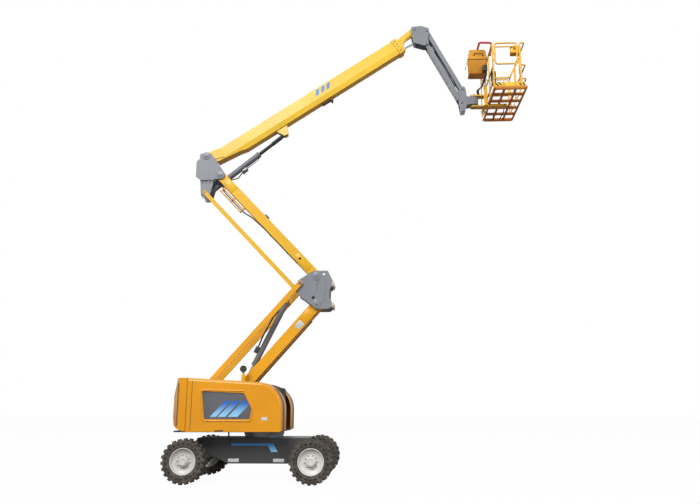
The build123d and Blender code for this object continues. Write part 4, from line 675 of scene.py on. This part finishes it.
def tube(name, points, radius, bend=0.0, closed=False):
    """A round bar along a path, its corners bent."""
    path = rounded(points, bend, closed) if bend else [Vector(point) for point in points]
    piece = begin(name, bpy.ops.curve.primitive_bezier_curve_add)
    curve = piece.data
    curve.splines.clear()
    spline = curve.splines.new("POLY")
    spline.points.add(len(path) - 1)
    for point, place in zip(spline.points, path):
        point.co = (*place, 1)
    spline.use_cyclic_u = closed
    curve.bevel_depth = radius
    curve.bevel_resolution = 3
    curve.use_fill_caps = True
    bpy.ops.object.convert(target="MESH")
    piece = bpy.context.object
    piece.data.name = name
    bpy.ops.object.shade_smooth_by_angle(angle=math.radians(40))
    return piece


def arm(pin, degrees):
    """The frame of an arm: its first pin, and its X axis at an angle in the XZ plane."""
    return Matrix.Translation((pin[0], 0, pin[1])) @ Matrix.Rotation(-math.radians(degrees), 4, "Y")


def both_sides(piece, name):
    """The piece and its mirror image across the XZ plane, as one."""
    twin = copy(piece, name + "_twin", Matrix.Diagonal((1, -1, 1, 1)))
    return join([piece, twin], name)


LOWER_ANGLE = 48.5
UPPER_ANGLE = 133.3
BOOM_ANGLE = 33.4
JIB_ANGLE = -63.35
lower_arm = arm((-0.985, 1.270), LOWER_ANGLE)
upper_arm = arm((1.3143, 4.5249), UPPER_ANGLE)
boom_arm = arm((-1.445, 7.5591), BOOM_ANGLE)
jib_bar = arm((4.0477, 10.9166), JIB_ANGLE)
basket = Matrix.Translation((5.1529, 0, 8.8673))


def along_arm(piece, place, finish, body):
    return coat(settle(piece, place), finish, body)


def on_basket(piece, finish):
    return along_arm(piece, basket, finish, "platform")


print("arms at", [tuple(round(v, 2) for v in place.translation) for place in (lower_arm, upper_arm, boom_arm)])

# %% [markdown]
# ## Platform rails
# The rails are round tube. At the near end a loop is bent from one length, with a second hand rail
# under its top, and a lower rail that turns up to the corner of the loop. The outer side is one long
# tube: it rises as a post, runs along the side, turns the corner and comes down again as a post.

# %% Bend the rails
RAIL = 0.019
RAIL_X0 = 0.374
RAIL_X1 = 1.126
RAIL_Y = 0.896
RAIL_TOP = 1.18
RAIL_MID = 0.60
FLOOR_TOP = 0.05
TURNED_POST = 1.02


def inner_rail():
    ends = [(RAIL_X0, -0.87, FLOOR_TOP), (RAIL_X0, -0.87, RAIL_TOP), (RAIL_X0, RAIL_Y, RAIL_TOP),
            (RAIL_X0, RAIL_Y, FLOOR_TOP)]
    pieces = [tube("hoop", ends, RAIL, 0.07)]
    for z in (RAIL_MID, 0.24):
        pieces.append(tube("rail", [(RAIL_X0, -0.87, z), (RAIL_X0, RAIL_Y, z)], RAIL))
    for y in (-RAIL_Y / 3, RAIL_Y / 3):
        pieces.append(tube("post", [(RAIL_X0, y, FLOOR_TOP), (RAIL_X0, y, RAIL_TOP)], RAIL))
    return join(pieces, "platform_rail_inner_bent")


def outer_rail():
    ends = [(RAIL_X1, RAIL_Y, FLOOR_TOP), (RAIL_X1, RAIL_Y, RAIL_TOP), (RAIL_X1, -RAIL_Y, RAIL_TOP),
            (TURNED_POST, -RAIL_Y, RAIL_TOP), (TURNED_POST, -RAIL_Y, FLOOR_TOP)]
    pieces = [tube("hoop", ends, RAIL, 0.045)]
    for z in (RAIL_MID, 0.24):
        way = [(RAIL_X1, RAIL_Y, z), (RAIL_X1, -RAIL_Y, z), (TURNED_POST, -RAIL_Y, z)]
        pieces.append(tube("rail", way, RAIL, 0.05))
    for y in (-RAIL_Y / 3, RAIL_Y / 3):
        pieces.append(tube("post", [(RAIL_X1, y, FLOOR_TOP), (RAIL_X1, y, RAIL_TOP)], RAIL))
    for z in (0.17, RAIL_MID):
        pieces.append(block("lug", (1.062, RAIL_Y - 0.016, z - 0.008), (RAIL_X1, RAIL_Y + 0.016, z), 0.002))
        pieces.append(tube("gate_pin", [(1.078, RAIL_Y, z), (1.078, RAIL_Y, z + 0.064)], 0.008))
    return join(pieces, "platform_rail_outer_bent")


def end_rail():
    def on_end(*points):
        return [(x, -RAIL_Y, z) for x, z in points]

    pieces = [tube("corner_post", on_end((RAIL_X0, FLOOR_TOP), (RAIL_X0, 1.10)), RAIL)]
    loop = on_end((0.425, 0.635), (0.95, 0.635), (0.95, RAIL_TOP), (0.425, RAIL_TOP))
    pieces.append(tube("loop", loop, RAIL, 0.07, True))
    pieces.append(tube("second_rail", on_end((0.425, 1.085), (0.95, 1.085)), 0.016))
    pieces.append(tube("turned_rail", on_end((RAIL_X0, 0.27), (0.73, 0.27), (0.93, 0.64)), RAIL, 0.05))
    for x0, x1 in ((RAIL_X0, 0.425), (0.95, TURNED_POST)):
        for z in (0.92, 0.74):
            pieces.append(tube("stub", on_end((x0, z), (x1, z)), 0.016))
    for x in (0.60, 0.88):
        pieces.append(tube("short_post", on_end((x, FLOOR_TOP), (x, 0.27 if x < 0.7 else 0.56)), 0.012))
    return join(pieces, "platform_rail_end_bent")


for side, make in (("inner", inner_rail), ("outer", outer_rail), ("end", end_rail)):
    rail = on_basket(make(), platform_paint)
    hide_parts("platform_rail_" + side)
print("rails bent")

# %% [markdown]
# ## Console, safety bar and hoses
# The control console is a moulded case with a sloping near face. A red bar arches over it, and the
# cables come up from the fork in a bundle. Each cable keeps to the platform, so it never has to stretch.

# %% Console, safety bar, boxes and cables
def console_case():
    piece = begin("console", bpy.ops.mesh.primitive_cube_add, size=1, location=(0.12, 0, 1.13))
    piece.scale = (0.50, 0.52, 0.70)
    bpy.ops.object.transform_apply()
    edit()
    bpy.ops.mesh.select_all(action="SELECT")
    bpy.ops.mesh.subdivide(number_cuts=1)
    pick(piece, lambda c, n: n.z > 0.9)
    bpy.ops.transform.resize(value=(0.80, 0.52, 1), center_override=(0.22, 0, 1.48))
    pick(piece, lambda c, n: n.z < -0.9)
    bpy.ops.transform.resize(value=(0.88, 0.55, 1), center_override=(0.17, 0, 0.78))
    leave()
    soften(piece, 0.045, 4)
    return piece


# Painted shade: the console takes a darker orange copy of the platform yellow, for the shade on its sides,
# which face down and away from the light.
console_shaded_paint = paint("console_shaded_paint", (0.66, 0.29, 0.026), 0.36, 0.2, 0.6)
case = on_basket(console_case(), console_shaded_paint)
case.name = "control_console_moulded"
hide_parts("control_console")
grip = [(0.02, -0.205, 1.24), (0.06, -0.245, 1.31), (0.25, -0.245, 1.29), (0.27, -0.215, 1.21)]
on_basket(tube("console_handle", grip, 0.011, 0.03), black_plastic)
on_basket(block("console_plug", (0.235, -0.295, 0.80), (0.345, -0.130, 0.96), 0.012), black_plastic)
on_basket(block("console_seam", (-0.133, -0.263, 1.124), (0.373, 0.263, 1.136), 0.002), black_plastic)
near = [(0.40, -0.38, RAIL_TOP - 0.03), (0.46, -0.38, 1.50), (0.16, -0.38, 1.515)]
arch = near + [(x, -y, z) for x, y, z in reversed(near)]
bar = on_basket(tube("safety_bar_padded", arch, 0.026, 0.05), pad_foam)
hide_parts("safety_bar")
on_basket(block("manual_box", (0.80, -0.886, 0.92), (1.04, -0.686, 1.14), 0.05), platform_paint)
on_basket(block("manual_strap", (0.86, -0.891, 1.01), (0.93, -0.681, 1.04), 0.004), black_plastic)
on_basket(block("foot_switch", (0.385, -0.62, 0.30), (0.48, -0.42, 0.60), 0.012), black_plastic)
for index, (dx, dy) in enumerate(((0, 0), (0.022, -0.018), (-0.02, -0.022), (0.004, -0.04))):
    way = [(0.13 + dx, -0.04 + dy, 0.244), (0.10 + dx, -0.07 + dy, 0.36), (0.20 + dx, -0.16 + dy, 0.42 + dx),
           (0.27 + dx, -0.21 + dy, 0.60), (0.31 + dx, -0.22 + dy, 0.74), (0.29 + dx, -0.245 + dy / 3, 0.84)]
    on_basket(tube(f"console_cable_{index}", way, 0.011, 0.05), hose_rubber)
ring = begin("lashing_ring", bpy.ops.mesh.primitive_torus_add, major_radius=0.045, minor_radius=0.009,
             major_segments=32, minor_segments=10, location=(0.305, 0.45, 0.03), rotation=(math.pi / 2, 0, 0))
bpy.ops.object.transform_apply()
on_basket(ring, ring_steel)
print("console dressed")

# %% Floor from below
FLOOR_X = (0.385, 1.115)
FLOOR_Y = 0.885
strips = [block("strip", (0.355, y - 0.028, -0.008), (1.145, y + 0.028, 0.002), 0.002)
          for y in (-0.549, -0.183, 0.183, 0.549)]
strips += [block("strip", (x - 0.026, -0.915, -0.006), (x + 0.026, 0.915, 0.001), 0.002)
           for x in (0.618, 0.882)]
edge = [(FLOOR_X[0], -FLOOR_Y, -0.006), (FLOOR_X[1], -FLOOR_Y, -0.006), (FLOOR_X[1], FLOOR_Y, -0.006),
        (FLOOR_X[0], FLOOR_Y, -0.006)]
strips.append(tube("edge", edge, 0.026, 0.07, True))
on_basket(join(strips, "floor_strips"), floor_shaded_paint)
cable = [(0.75, -0.10, -0.03), (0.80, 0.30, -0.03), (0.78, 0.88, -0.02)]
on_basket(tube("floor_cable", cable, 0.013, 0.2), hose_rubber)
print("floor strips welded")

# %% [markdown]
# ## Hood trim
# A raised moulding frames the dark panel, a seam marks where the hood is made in two, and a black pull
# sits under its lower edge. The small plates on the sides stay blank.

# %% Moulding, seam, pull and blank plates
PANEL = [(-1.075, 1.912), (-0.125, 1.890), (0.052, 1.52), (0.022, 1.268), (-0.995, 1.268)]
plate_white = moulded("plate_white", (0.62, 0.62, 0.60), 0.4, 220, 0.03, 0.3)
seam_black = moulded("seam_black", (0.020, 0.018, 0.016), 0.7, 200, 0.1, 0.1)
HOOD_FACE = 1.0165
for side, way in (("left", 1), ("right", -1)):
    body = "hood_" + side
    frame_line = [(x, way * 1.016, z) for x, z in PANEL]
    coat(tube("hood_moulding_" + side, frame_line, 0.019, 0.06, True), hood_paint, body)
    line = [(-1.262, way * HOOD_FACE, 2.10), (-1.262, way * HOOD_FACE, 1.075)]
    coat(tube("hood_seam_" + side, line, 0.006), seam_black, body)
    y = way * 1.005
    pull = block("hood_pull_" + side, (-0.74, y - 0.02, 1.052), (-0.55, y + 0.02, 1.082), 0.008)
    coat(pull, black_plastic, body)
    y = way * 1.002
    label = block("hood_plate_" + side, (0.245, y - 0.0195, 1.275), (0.375, y + 0.0195, 1.345), 0.002)
    coat(label, plate_white, body)
    y = way * 0.551
    for index, x in enumerate((-0.53, 0.45)):
        low, high = (x, y - 0.003, 0.405), (x + 0.235, y + 0.003, 0.475)
        tag = block(f"chassis_plate_{side}_{index}", low, high, 0.001)
        coat(tag, plate_white, "chassis")
    line = [(-1.56, way * HOOD_FACE, 2.06), (-1.56, way * HOOD_FACE, 1.16)]
    coat(tube("counterweight_groove_" + side, line, 0.006), seam_black, "turntable")
print("hood trimmed")

# %% [markdown]
# ## Pins of the tower and the jib
# Most pins that show end in a cap with a nut on it. One cap is modelled and copied to each end of
# such a pin, larger on a larger pin. The knuckles also carry bosses, welded ribs and pale bumpers.

# %% Pin caps
def pin_cap():
    plate = disc("plate", (0, 0), 0.05, -0.010, 0.0)
    nut = disc("nut", (0, 0), 0.021, -0.024, -0.008, 6, 0.002)
    bolts = [disc("bolt", (0.036 * math.cos(turn), 0.036 * math.sin(turn)), 0.006, -0.014, -0.008, 6, 0.001)
             for turn in (0.6, 2.7, 4.8)]
    return join([plate, nut, *bolts], "pin_cap")


TOWER_PINS = ((1.3143, 3.8689), (1.3143, 4.5249))
UPPER_PINS = ((-1.0710, 7.0561), (-1.4450, 7.5591))
PINS = {
    "lower_knuckle": [*((pin, 0.270, 1.2) for pin in TOWER_PINS), ((0.9343, 4.3559), 0.335, 0.8)],
    "upper_knuckle": [(pin, 0.225, 1.2) for pin in UPPER_PINS],
    "jib_head": [((3.7227, 10.9666), 0.120, 0.9), ((4.0477, 10.9166), 0.120, 0.75),
                 ((4.0327, 10.5586), 0.120, 0.75)],
    "jib_end": [((4.8739, 9.2703), 0.120, 0.75), ((4.8589, 8.9123), 0.120, 0.75)],
}
cap = pin_cap()
for body, pins in PINS.items():
    caps = []
    for (x, z), face, size in pins:
        for way in (-1, 1):
            place = Matrix.Translation((x, way * face, z)) @ Matrix.Diagonal((size, -way, size, 1))
            caps.append(copy(cap, "cap", place))
    coat(join(caps, body + "_pin_caps"), blue_grey_paint, body)
discard(cap)

# %% Bosses, ribs and bumpers of the knuckles
cream_paint = paint("cream_paint", (0.62, 0.56, 0.44), 0.4, 0.4, 0.5)
RIB_Y = -0.271


def on_both(pieces, name, finish, body):
    coat(both_sides(join(pieces, name), name), finish, body)


bosses = [disc("boss", place, 0.105, -0.278, -0.268) for place in TOWER_PINS]
bosses.append(tube("rib", [(1.345, RIB_Y, 4.40), (1.315, RIB_Y, 4.28), (1.325, RIB_Y, 4.15)], 0.007, 0.08))
long_rib = [(1.50, RIB_Y, 4.47), (1.545, RIB_Y, 4.22), (1.46, RIB_Y, 3.92), (1.40, RIB_Y, 3.87)]
bosses.append(tube("rib", long_rib, 0.007, 0.10))
on_both(bosses, "lower_knuckle_bosses", blue_grey_paint, "lower_knuckle")
plug = disc("lower_knuckle_plug", (1.235, 4.015), 0.036, -0.2725, -0.266)
coat(both_sides(plug, "lower_knuckle_plug"), seam_black, "lower_knuckle")
for index, z in enumerate((4.337, 3.846)):
    low, high = (1.668, -0.272, z - 0.052), (1.708, 0.272, z + 0.052)
    bumper = block(f"lower_knuckle_bumper_{index}", low, high, 0.006)
    coat(bumper, cream_paint, "lower_knuckle")
bosses = [disc("boss", place, 0.10, -0.232, -0.222) for place in UPPER_PINS]
on_both(bosses, "upper_knuckle_bosses", blue_grey_paint, "upper_knuckle")
bolts = [disc("bolt", (-1.52 + 0.085 * step, 6.905), 0.015, -0.239, -0.222, 6, 0.002) for step in range(6)]
on_both(bolts, "upper_knuckle_bolts", pin_steel, "upper_knuckle")
print("knuckles dressed")

# %% [markdown]
# ## Arms of the tower
# Doubler plates strengthen the ends of each riser. A blank plate sits on the lower one. Under the top
# end of the upper riser a ladder of bars keeps the hoses together, and the hoses run along the arm.

# %% Doublers, hose ladder and hoses
tray_paint = paint("tray_paint", (0.20, 0.085, 0.02), 0.5, 0.3, 0.4)


def doubler(name, start, end, depth):
    corners = [(start, -depth), (end - 0.06, -depth), (end, -depth / 2)]
    corners += [(u, -w) for u, w in reversed(corners)]
    return both_sides(slab_of(name, corners, -0.197, -0.189), name)


along_arm(doubler("lower_riser_doubler_high", 2.95, 3.30, 0.098), lower_arm, amber_paint, "lower_riser")
along_arm(doubler("upper_riser_doubler_low", 0.26, 0.74, 0.088), upper_arm, riser_paint, "upper_riser")
along_arm(doubler("upper_riser_doubler_high", 2.95, 3.30, 0.088), upper_arm, riser_paint, "upper_riser")
plug = both_sides(disc("upper_riser_plug", (0.60, 0.0), 0.032, -0.199, -0.19), "upper_riser_plug")
along_arm(plug, upper_arm, seam_black, "upper_riser")
tray = block("lower_riser_tray", (0.75, -0.188, -0.142), (3.12, -0.112, -0.119), 0.004)
along_arm(both_sides(tray, "lower_riser_tray"), lower_arm, tray_paint, "lower_riser")
label = block("lower_riser_plate", (2.76, -0.193, -0.085), (2.95, -0.188, 0.055), 0.001)
along_arm(label, lower_arm, plate_white, "lower_riser")
LADDER_Y = (-0.100, -0.178)
LADDER_W = (0.17, 0.26)
ladder = [tube("rail", [(2.45, y, w), (3.20, y, w)], 0.013) for y in LADDER_Y for w in LADDER_W]
ladder += [tube("rung", [(u, LADDER_Y[0], w), (u, LADDER_Y[1], w)], 0.010)
           for u in (2.46, 2.70, 2.94, 3.18) for w in LADDER_W]
ladder += [tube("leg", [(u, y, LADDER_W[1]), (u, y, 0.104)], 0.010)
           for u in (2.46, 2.82, 3.18) for y in LADDER_Y]
along_arm(join(ladder, "hose_ladder"), upper_arm, amber_paint, "upper_riser")
HOSE_LINE = [(0.55, 0.120), (1.75, 0.122), (2.15, 0.15), (2.42, 0.215), (3.14, 0.215), (3.32, 0.10)]
hoses = [tube("hose", [(u, y, w) for u, w in HOSE_LINE], 0.0125, 0.3) for y in (-0.116, -0.139, -0.162)]
along_arm(join(hoses, "riser_hoses"), upper_arm, hose_rubber, "upper_riser")
clamps = [block("clamp", (u, -0.184, 0.104), (u + 0.05, -0.094, 0.138), 0.004) for u in (0.9, 1.5)]
clamps.append(block("clamp", (1.86, -0.150, -0.150), (1.99, -0.110, -0.104), 0.006))
along_arm(join(clamps, "hose_clamps"), upper_arm, black_plastic, "upper_riser")
print("tower arms dressed")

# %% [markdown]
# ## Cylinders and boom
# A rubber boot guards the end of the lift rod. It is one zigzag line spun round. Three barrels carry a
# valve block: the lift's has a steel pipe and a hose, and the tower's two hoses. The collar at the boom's
# mouth has bolts that set its wear pads, and a guide under the boom holds hoses.

# %% Boot, valve blocks, pipes and collar bolts
BORE = 0.0426
LIFT_ANGLE = 39.36
TOWER_ANGLE = 243.85
JIB_CYLINDER_ANGLE = -56.86
lift_line = arm((-1.4410, 6.6261), LIFT_ANGLE)
tower_line = arm((0.590, 3.966), TOWER_ANGLE)
jib_line = arm((4.0327, 10.5586), JIB_CYLINDER_ANGLE)


def boot(name, start, end, low, high, folds):
    profile = [(BORE, start)]
    for fold in range(folds):
        share = (end - start) / folds
        profile += [(low, start + fold * share), (high, start + (fold + 0.5) * share)]
    profile += [(low, end), (BORE, end), (BORE, start)]
    piece = lathe(name, profile, 36)
    soften(piece, 0.001, 1)
    return settle(piece, Matrix.Rotation(-math.pi / 2, 4, "Z"))


def valve(name, start, side, half=0.055):
    """A block on the barrel's side, with a cap on each of its two ports."""
    pieces = [block("body", (start, -half, side), (start + 0.16, half, side + 0.075), 0.006)]
    for y in (-half, half):
        pieces.append(disc("port", (start + 0.05, side + 0.04), 0.018, y * 1.25, y * 0.65, 6, 0.002))
    return join(pieces, name)


def pipe_run(name, start, end, side, y):
    lift = math.copysign(0.03, side)
    way = [(start, y, side), (start + 0.04, y, side + lift), (end - 0.05, y, side + lift), (end, y, side)]
    return tube(name, way, 0.009, 0.03)


along_arm(boot("lift_rod_boot", 2.05, 2.34, 0.046, 0.0535, 16), lift_line, hose_rubber, "lift_rod")
along_arm(valve("lift_valve", 1.02, -0.143), lift_line, pin_steel, "lift_barrel")
along_arm(pipe_run("lift_pipe", 1.16, 1.58, -0.062, 0.02), lift_line, ring_steel, "lift_barrel")
loop = [(1.03, -0.02, -0.11), (0.86, -0.03, -0.17), (0.68, -0.05, -0.10), (0.52, -0.075, -0.05),
        (0.36, -0.06, 0.0)]
along_arm(tube("lift_hose", loop, 0.014, 0.09), lift_line, hose_rubber, "lift_barrel")
along_arm(valve("tower_valve", 1.22, -0.150), tower_line, pin_steel, "tower_barrel")
foot = block("tower_valve_foot", (1.24, -0.03, -0.09), (1.34, 0.03, -0.058), 0.003)
along_arm(foot, tower_line, pin_steel, "tower_barrel")
for index, y in enumerate((-0.03, 0.03)):
    hose = [(1.22, y, -0.11), (0.95, y, -0.13), (0.45, y, -0.12), (0.25, y, -0.062)]
    along_arm(tube(f"tower_hose_{index}", hose, 0.012, 0.12), tower_line, hose_rubber, "tower_barrel")
along_arm(valve("jib_valve", 0.12, 0.037, 0.036), jib_line, pin_steel, "jib_barrel")
bolts = [disc("bolt", (5.565, w), 0.016, -0.163, -0.149, 6, 0.002) for w in (-0.02, -0.12, -0.20, -0.30)]
along_arm(both_sides(join(bolts, "collar_bolts"), "collar_bolts"), boom_arm, pin_steel, "boom_base")
guide = [block("guide", (3.14, -0.07, -0.405), (3.46, 0.07, -0.356), 0.012),
         tube("roller", [(3.40, -0.10, -0.42), (3.40, 0.10, -0.42)], 0.03)]
along_arm(join(guide, "boom_hose_guide"), boom_arm, tray_paint, "boom_base")
print("cylinders dressed")

# %% Beacon post
post = [block("post", (-0.340, -0.371, 2.06), (-0.260, -0.345, 2.27), 0.006),
        block("foot", (-0.36, -0.371, 1.96), (-0.24, -0.343, 2.07), 0.006)]
coat(join(post, "beacon_post"), amber_paint, "turntable")
ring = disc("beacon_rim", (-0.300, 2.390), 0.076, -0.409, -0.380)
coat(ring, black_plastic, "turntable")
print("beacon post up")

# %% Jib clamps and rotator
clamps = [block("clamp", (u, -0.082, -0.062), (u + 0.05, -0.050, -0.046), 0.004) for u in (0.42, 0.94, 1.42)]
along_arm(both_sides(join(clamps, "jib_clamps"), "jib_clamps"), jib_bar, pin_steel, "jib_link")
pipes = [tube("pipe", [(0.20, y, -0.058), (1.64, y, -0.058)], 0.009) for y in (-0.068, 0.068)]
along_arm(join(pipes, "jib_pipes"), jib_bar, hose_rubber, "jib_link")
BOLT_CIRCLE = 0.058
turns = [step * math.pi / 4 for step in range(8)]
places = [(BOLT_CIRCLE * math.cos(turn), BOLT_CIRCLE * math.sin(turn)) for turn in turns]
cap_bolts = [disc("bolt", place, 0.009, 0.0, 0.012, 6, 0.001) for place in places]
top_cap = join([disc("plate", (0, 0), 0.078, -0.004, 0.006), *cap_bolts], "rotator_cap")
turn_up = Matrix.Translation((0, 0, 0.260)) @ Matrix.Rotation(math.pi / 2, 4, "X")
coat(settle(top_cap, basket @ turn_up), pin_steel, "jib_end")
print("jib dressed")

# %% [markdown]
# ## Marks in the paint
# Three kinds of mark are paint, so they live in finishes: blue slanted bars on the hood's panel and on
# the boom, and hazard stripes at the corners of the toe board. Each is a mask made of comparisons.
# On the boom the comparison runs in the boom's own frame: along it and across it.

# %% Hood panel with slanted bars
panel_film = Finish("panel_marked")
x, y, z = panel_film.axes()
cloud = panel_film.noise(2.2, 5).ease(0.3, 0.7)
tone = panel_film.mix(cloud, (0.098, 0.099, 0.108, 1), (0.128, 0.129, 0.140, 1))
lean = x - (z - 1.347) * 0.95
rows = (z > 1.352) * (z < 1.685)
bars = (lean > -0.86) * (lean < -0.73) + (lean > -0.69) * (lean < -0.53) + (lean > -0.48) * (lean < -0.27)
bars = bars * rows
blue = panel_film.mix(z.ease(1.36, 1.68), (0.30, 0.62, 0.88, 1), (0.02, 0.13, 0.50, 1))
tone = panel_film.mix(bars, tone, blue)
panel_film.edges(0.005)
panel_film.bump(panel_film.noise(300, 3), 0.05, 0.001)
panel_marked = panel_film.feed(Base_Color=tone, Roughness=cloud * 0.12 + 0.30)
dress(panel_marked, "hood_panel_left", "hood_panel_right")

# %% Boom with three dashes
boom_film, boom_tone, boom_grain = paint_parts("boom_marked", BOOM_YELLOW, 0.32, 0.2, 0.5)
x, y, z = boom_film.axes()
cos, sin = math.cos(math.radians(BOOM_ANGLE)), math.sin(math.radians(BOOM_ANGLE))
along = (x + 1.445) * cos + (z - 7.5591) * sin
across = (z - 7.5591) * cos - (x + 1.445) * sin
lean = along - across * 0.7
dashes = (lean > 3.20) * (lean < 3.66) * (((lean - 3.20) % 0.16) < 0.095)
dashes = dashes * (across > -0.15) * (across < -0.01) * (abs(y) > 0.13)
boom_tone = boom_film.mix(dashes, boom_tone, (0.06, 0.24, 0.58, 1))
dress(boom_film.feed(Base_Color=boom_tone, Roughness=boom_grain), "boom_base")

# %% Toe boards with hazard corners
toe_film, toe_tone, toe_grain = paint_parts("toe_marked", (0.83, 0.55, 0.06), 0.34, 0.2, 0.6)
x, y, z = toe_film.axes()
stripes = (((x + z) * 11) % 1.0) < 0.5
corners = ((x < 5.70) + (x > 6.11)) * (y < -0.86)
toe_tone = toe_film.mix(corners * stripes, toe_tone, (0.02, 0.02, 0.02, 1))
dress(toe_film.feed(Base_Color=toe_tone, Roughness=toe_grain), "platform_toe_boards")
print("marks painted")

# %% [markdown]
# ## Studio
# The floor is a plain pale sheet and the light is soft: a wide lamp high on the left of the camera,
# a weaker one on the right, one behind, and a bright sky all round. Seen by the camera the floor and
# the sky are white; what they throw back on the machine is dimmer, so that undersides stay in shade.

# %% Floor, sky and lamps
def studio_floor():
    floor = begin("studio_floor", bpy.ops.mesh.primitive_plane_add, size=240)
    film = Finish("floor_finish", Roughness=0.9)
    speck = film.noise(0.5, 3)
    seen = Wire(film, film.node("ShaderNodeLightPath").outputs["Is Camera Ray"])
    tone = film.mix(speck, (0.80, 0.80, 0.80, 1), (0.84, 0.84, 0.84, 1))
    pale = film.mix(seen, (0.30, 0.29, 0.28, 1), tone)
    film.feed(Base_Color=pale)
    glow = film.node("ShaderNodeEmission", {}, {"Color": (1, 1, 1, 1), "Strength": 1.0})
    sockets = {0: seen * 0.97, 1: film.shader.outputs[0], 2: glow.outputs[0]}
    blend = film.node("ShaderNodeMixShader", {}, sockets)
    film.tree.links.new(blend.outputs[0], film.tree.nodes["Material Output"].inputs[0])
    floor.data.materials.append(film.material)


def sky():
    world = bpy.data.worlds.new("sky")
    bpy.context.scene.world = world
    world.use_nodes = True
    tree = world.node_tree
    path = tree.nodes.new("ShaderNodeLightPath")
    shown = tree.nodes.new("ShaderNodeMath")
    shown.operation = "MAXIMUM"
    tree.links.new(path.outputs["Is Camera Ray"], shown.inputs[0])
    tree.links.new(path.outputs["Is Transmission Ray"], shown.inputs[1])
    dim = tree.nodes["Background"]
    dim.inputs["Color"].default_value = (0.92, 0.96, 1.0, 1)
    dim.inputs["Strength"].default_value = 0.45
    white = tree.nodes.new("ShaderNodeBackground")
    white.inputs["Color"].default_value = (1, 1, 1, 1)
    white.inputs["Strength"].default_value = 1.0
    blend = tree.nodes.new("ShaderNodeMixShader")
    tree.links.new(shown.outputs[0], blend.inputs[0])
    tree.links.new(dim.outputs[0], blend.inputs[1])
    tree.links.new(white.outputs[0], blend.inputs[2])
    tree.links.new(blend.outputs[0], tree.nodes["World Output"].inputs[0])


def lamp(name, place, target, size, power):
    bpy.ops.object.light_add(type="AREA", location=place)
    light = bpy.context.object
    light.name = name
    light.data.size = size
    light.data.energy = power
    light.rotation_euler = (Vector(target) - Vector(place)).to_track_quat("-Z", "Y").to_euler()


studio_floor()
sky()
lamp("key_lamp", (-12, -36, 34), (1.5, 0, 5), 20, 17500)
lamp("fill_lamp", (14, -13, 9), (1.5, 0, 5), 8, 950)
lamp("back_lamp", (2, 16, 16), (1.5, 0, 6), 9, 1100)
print("studio lit")
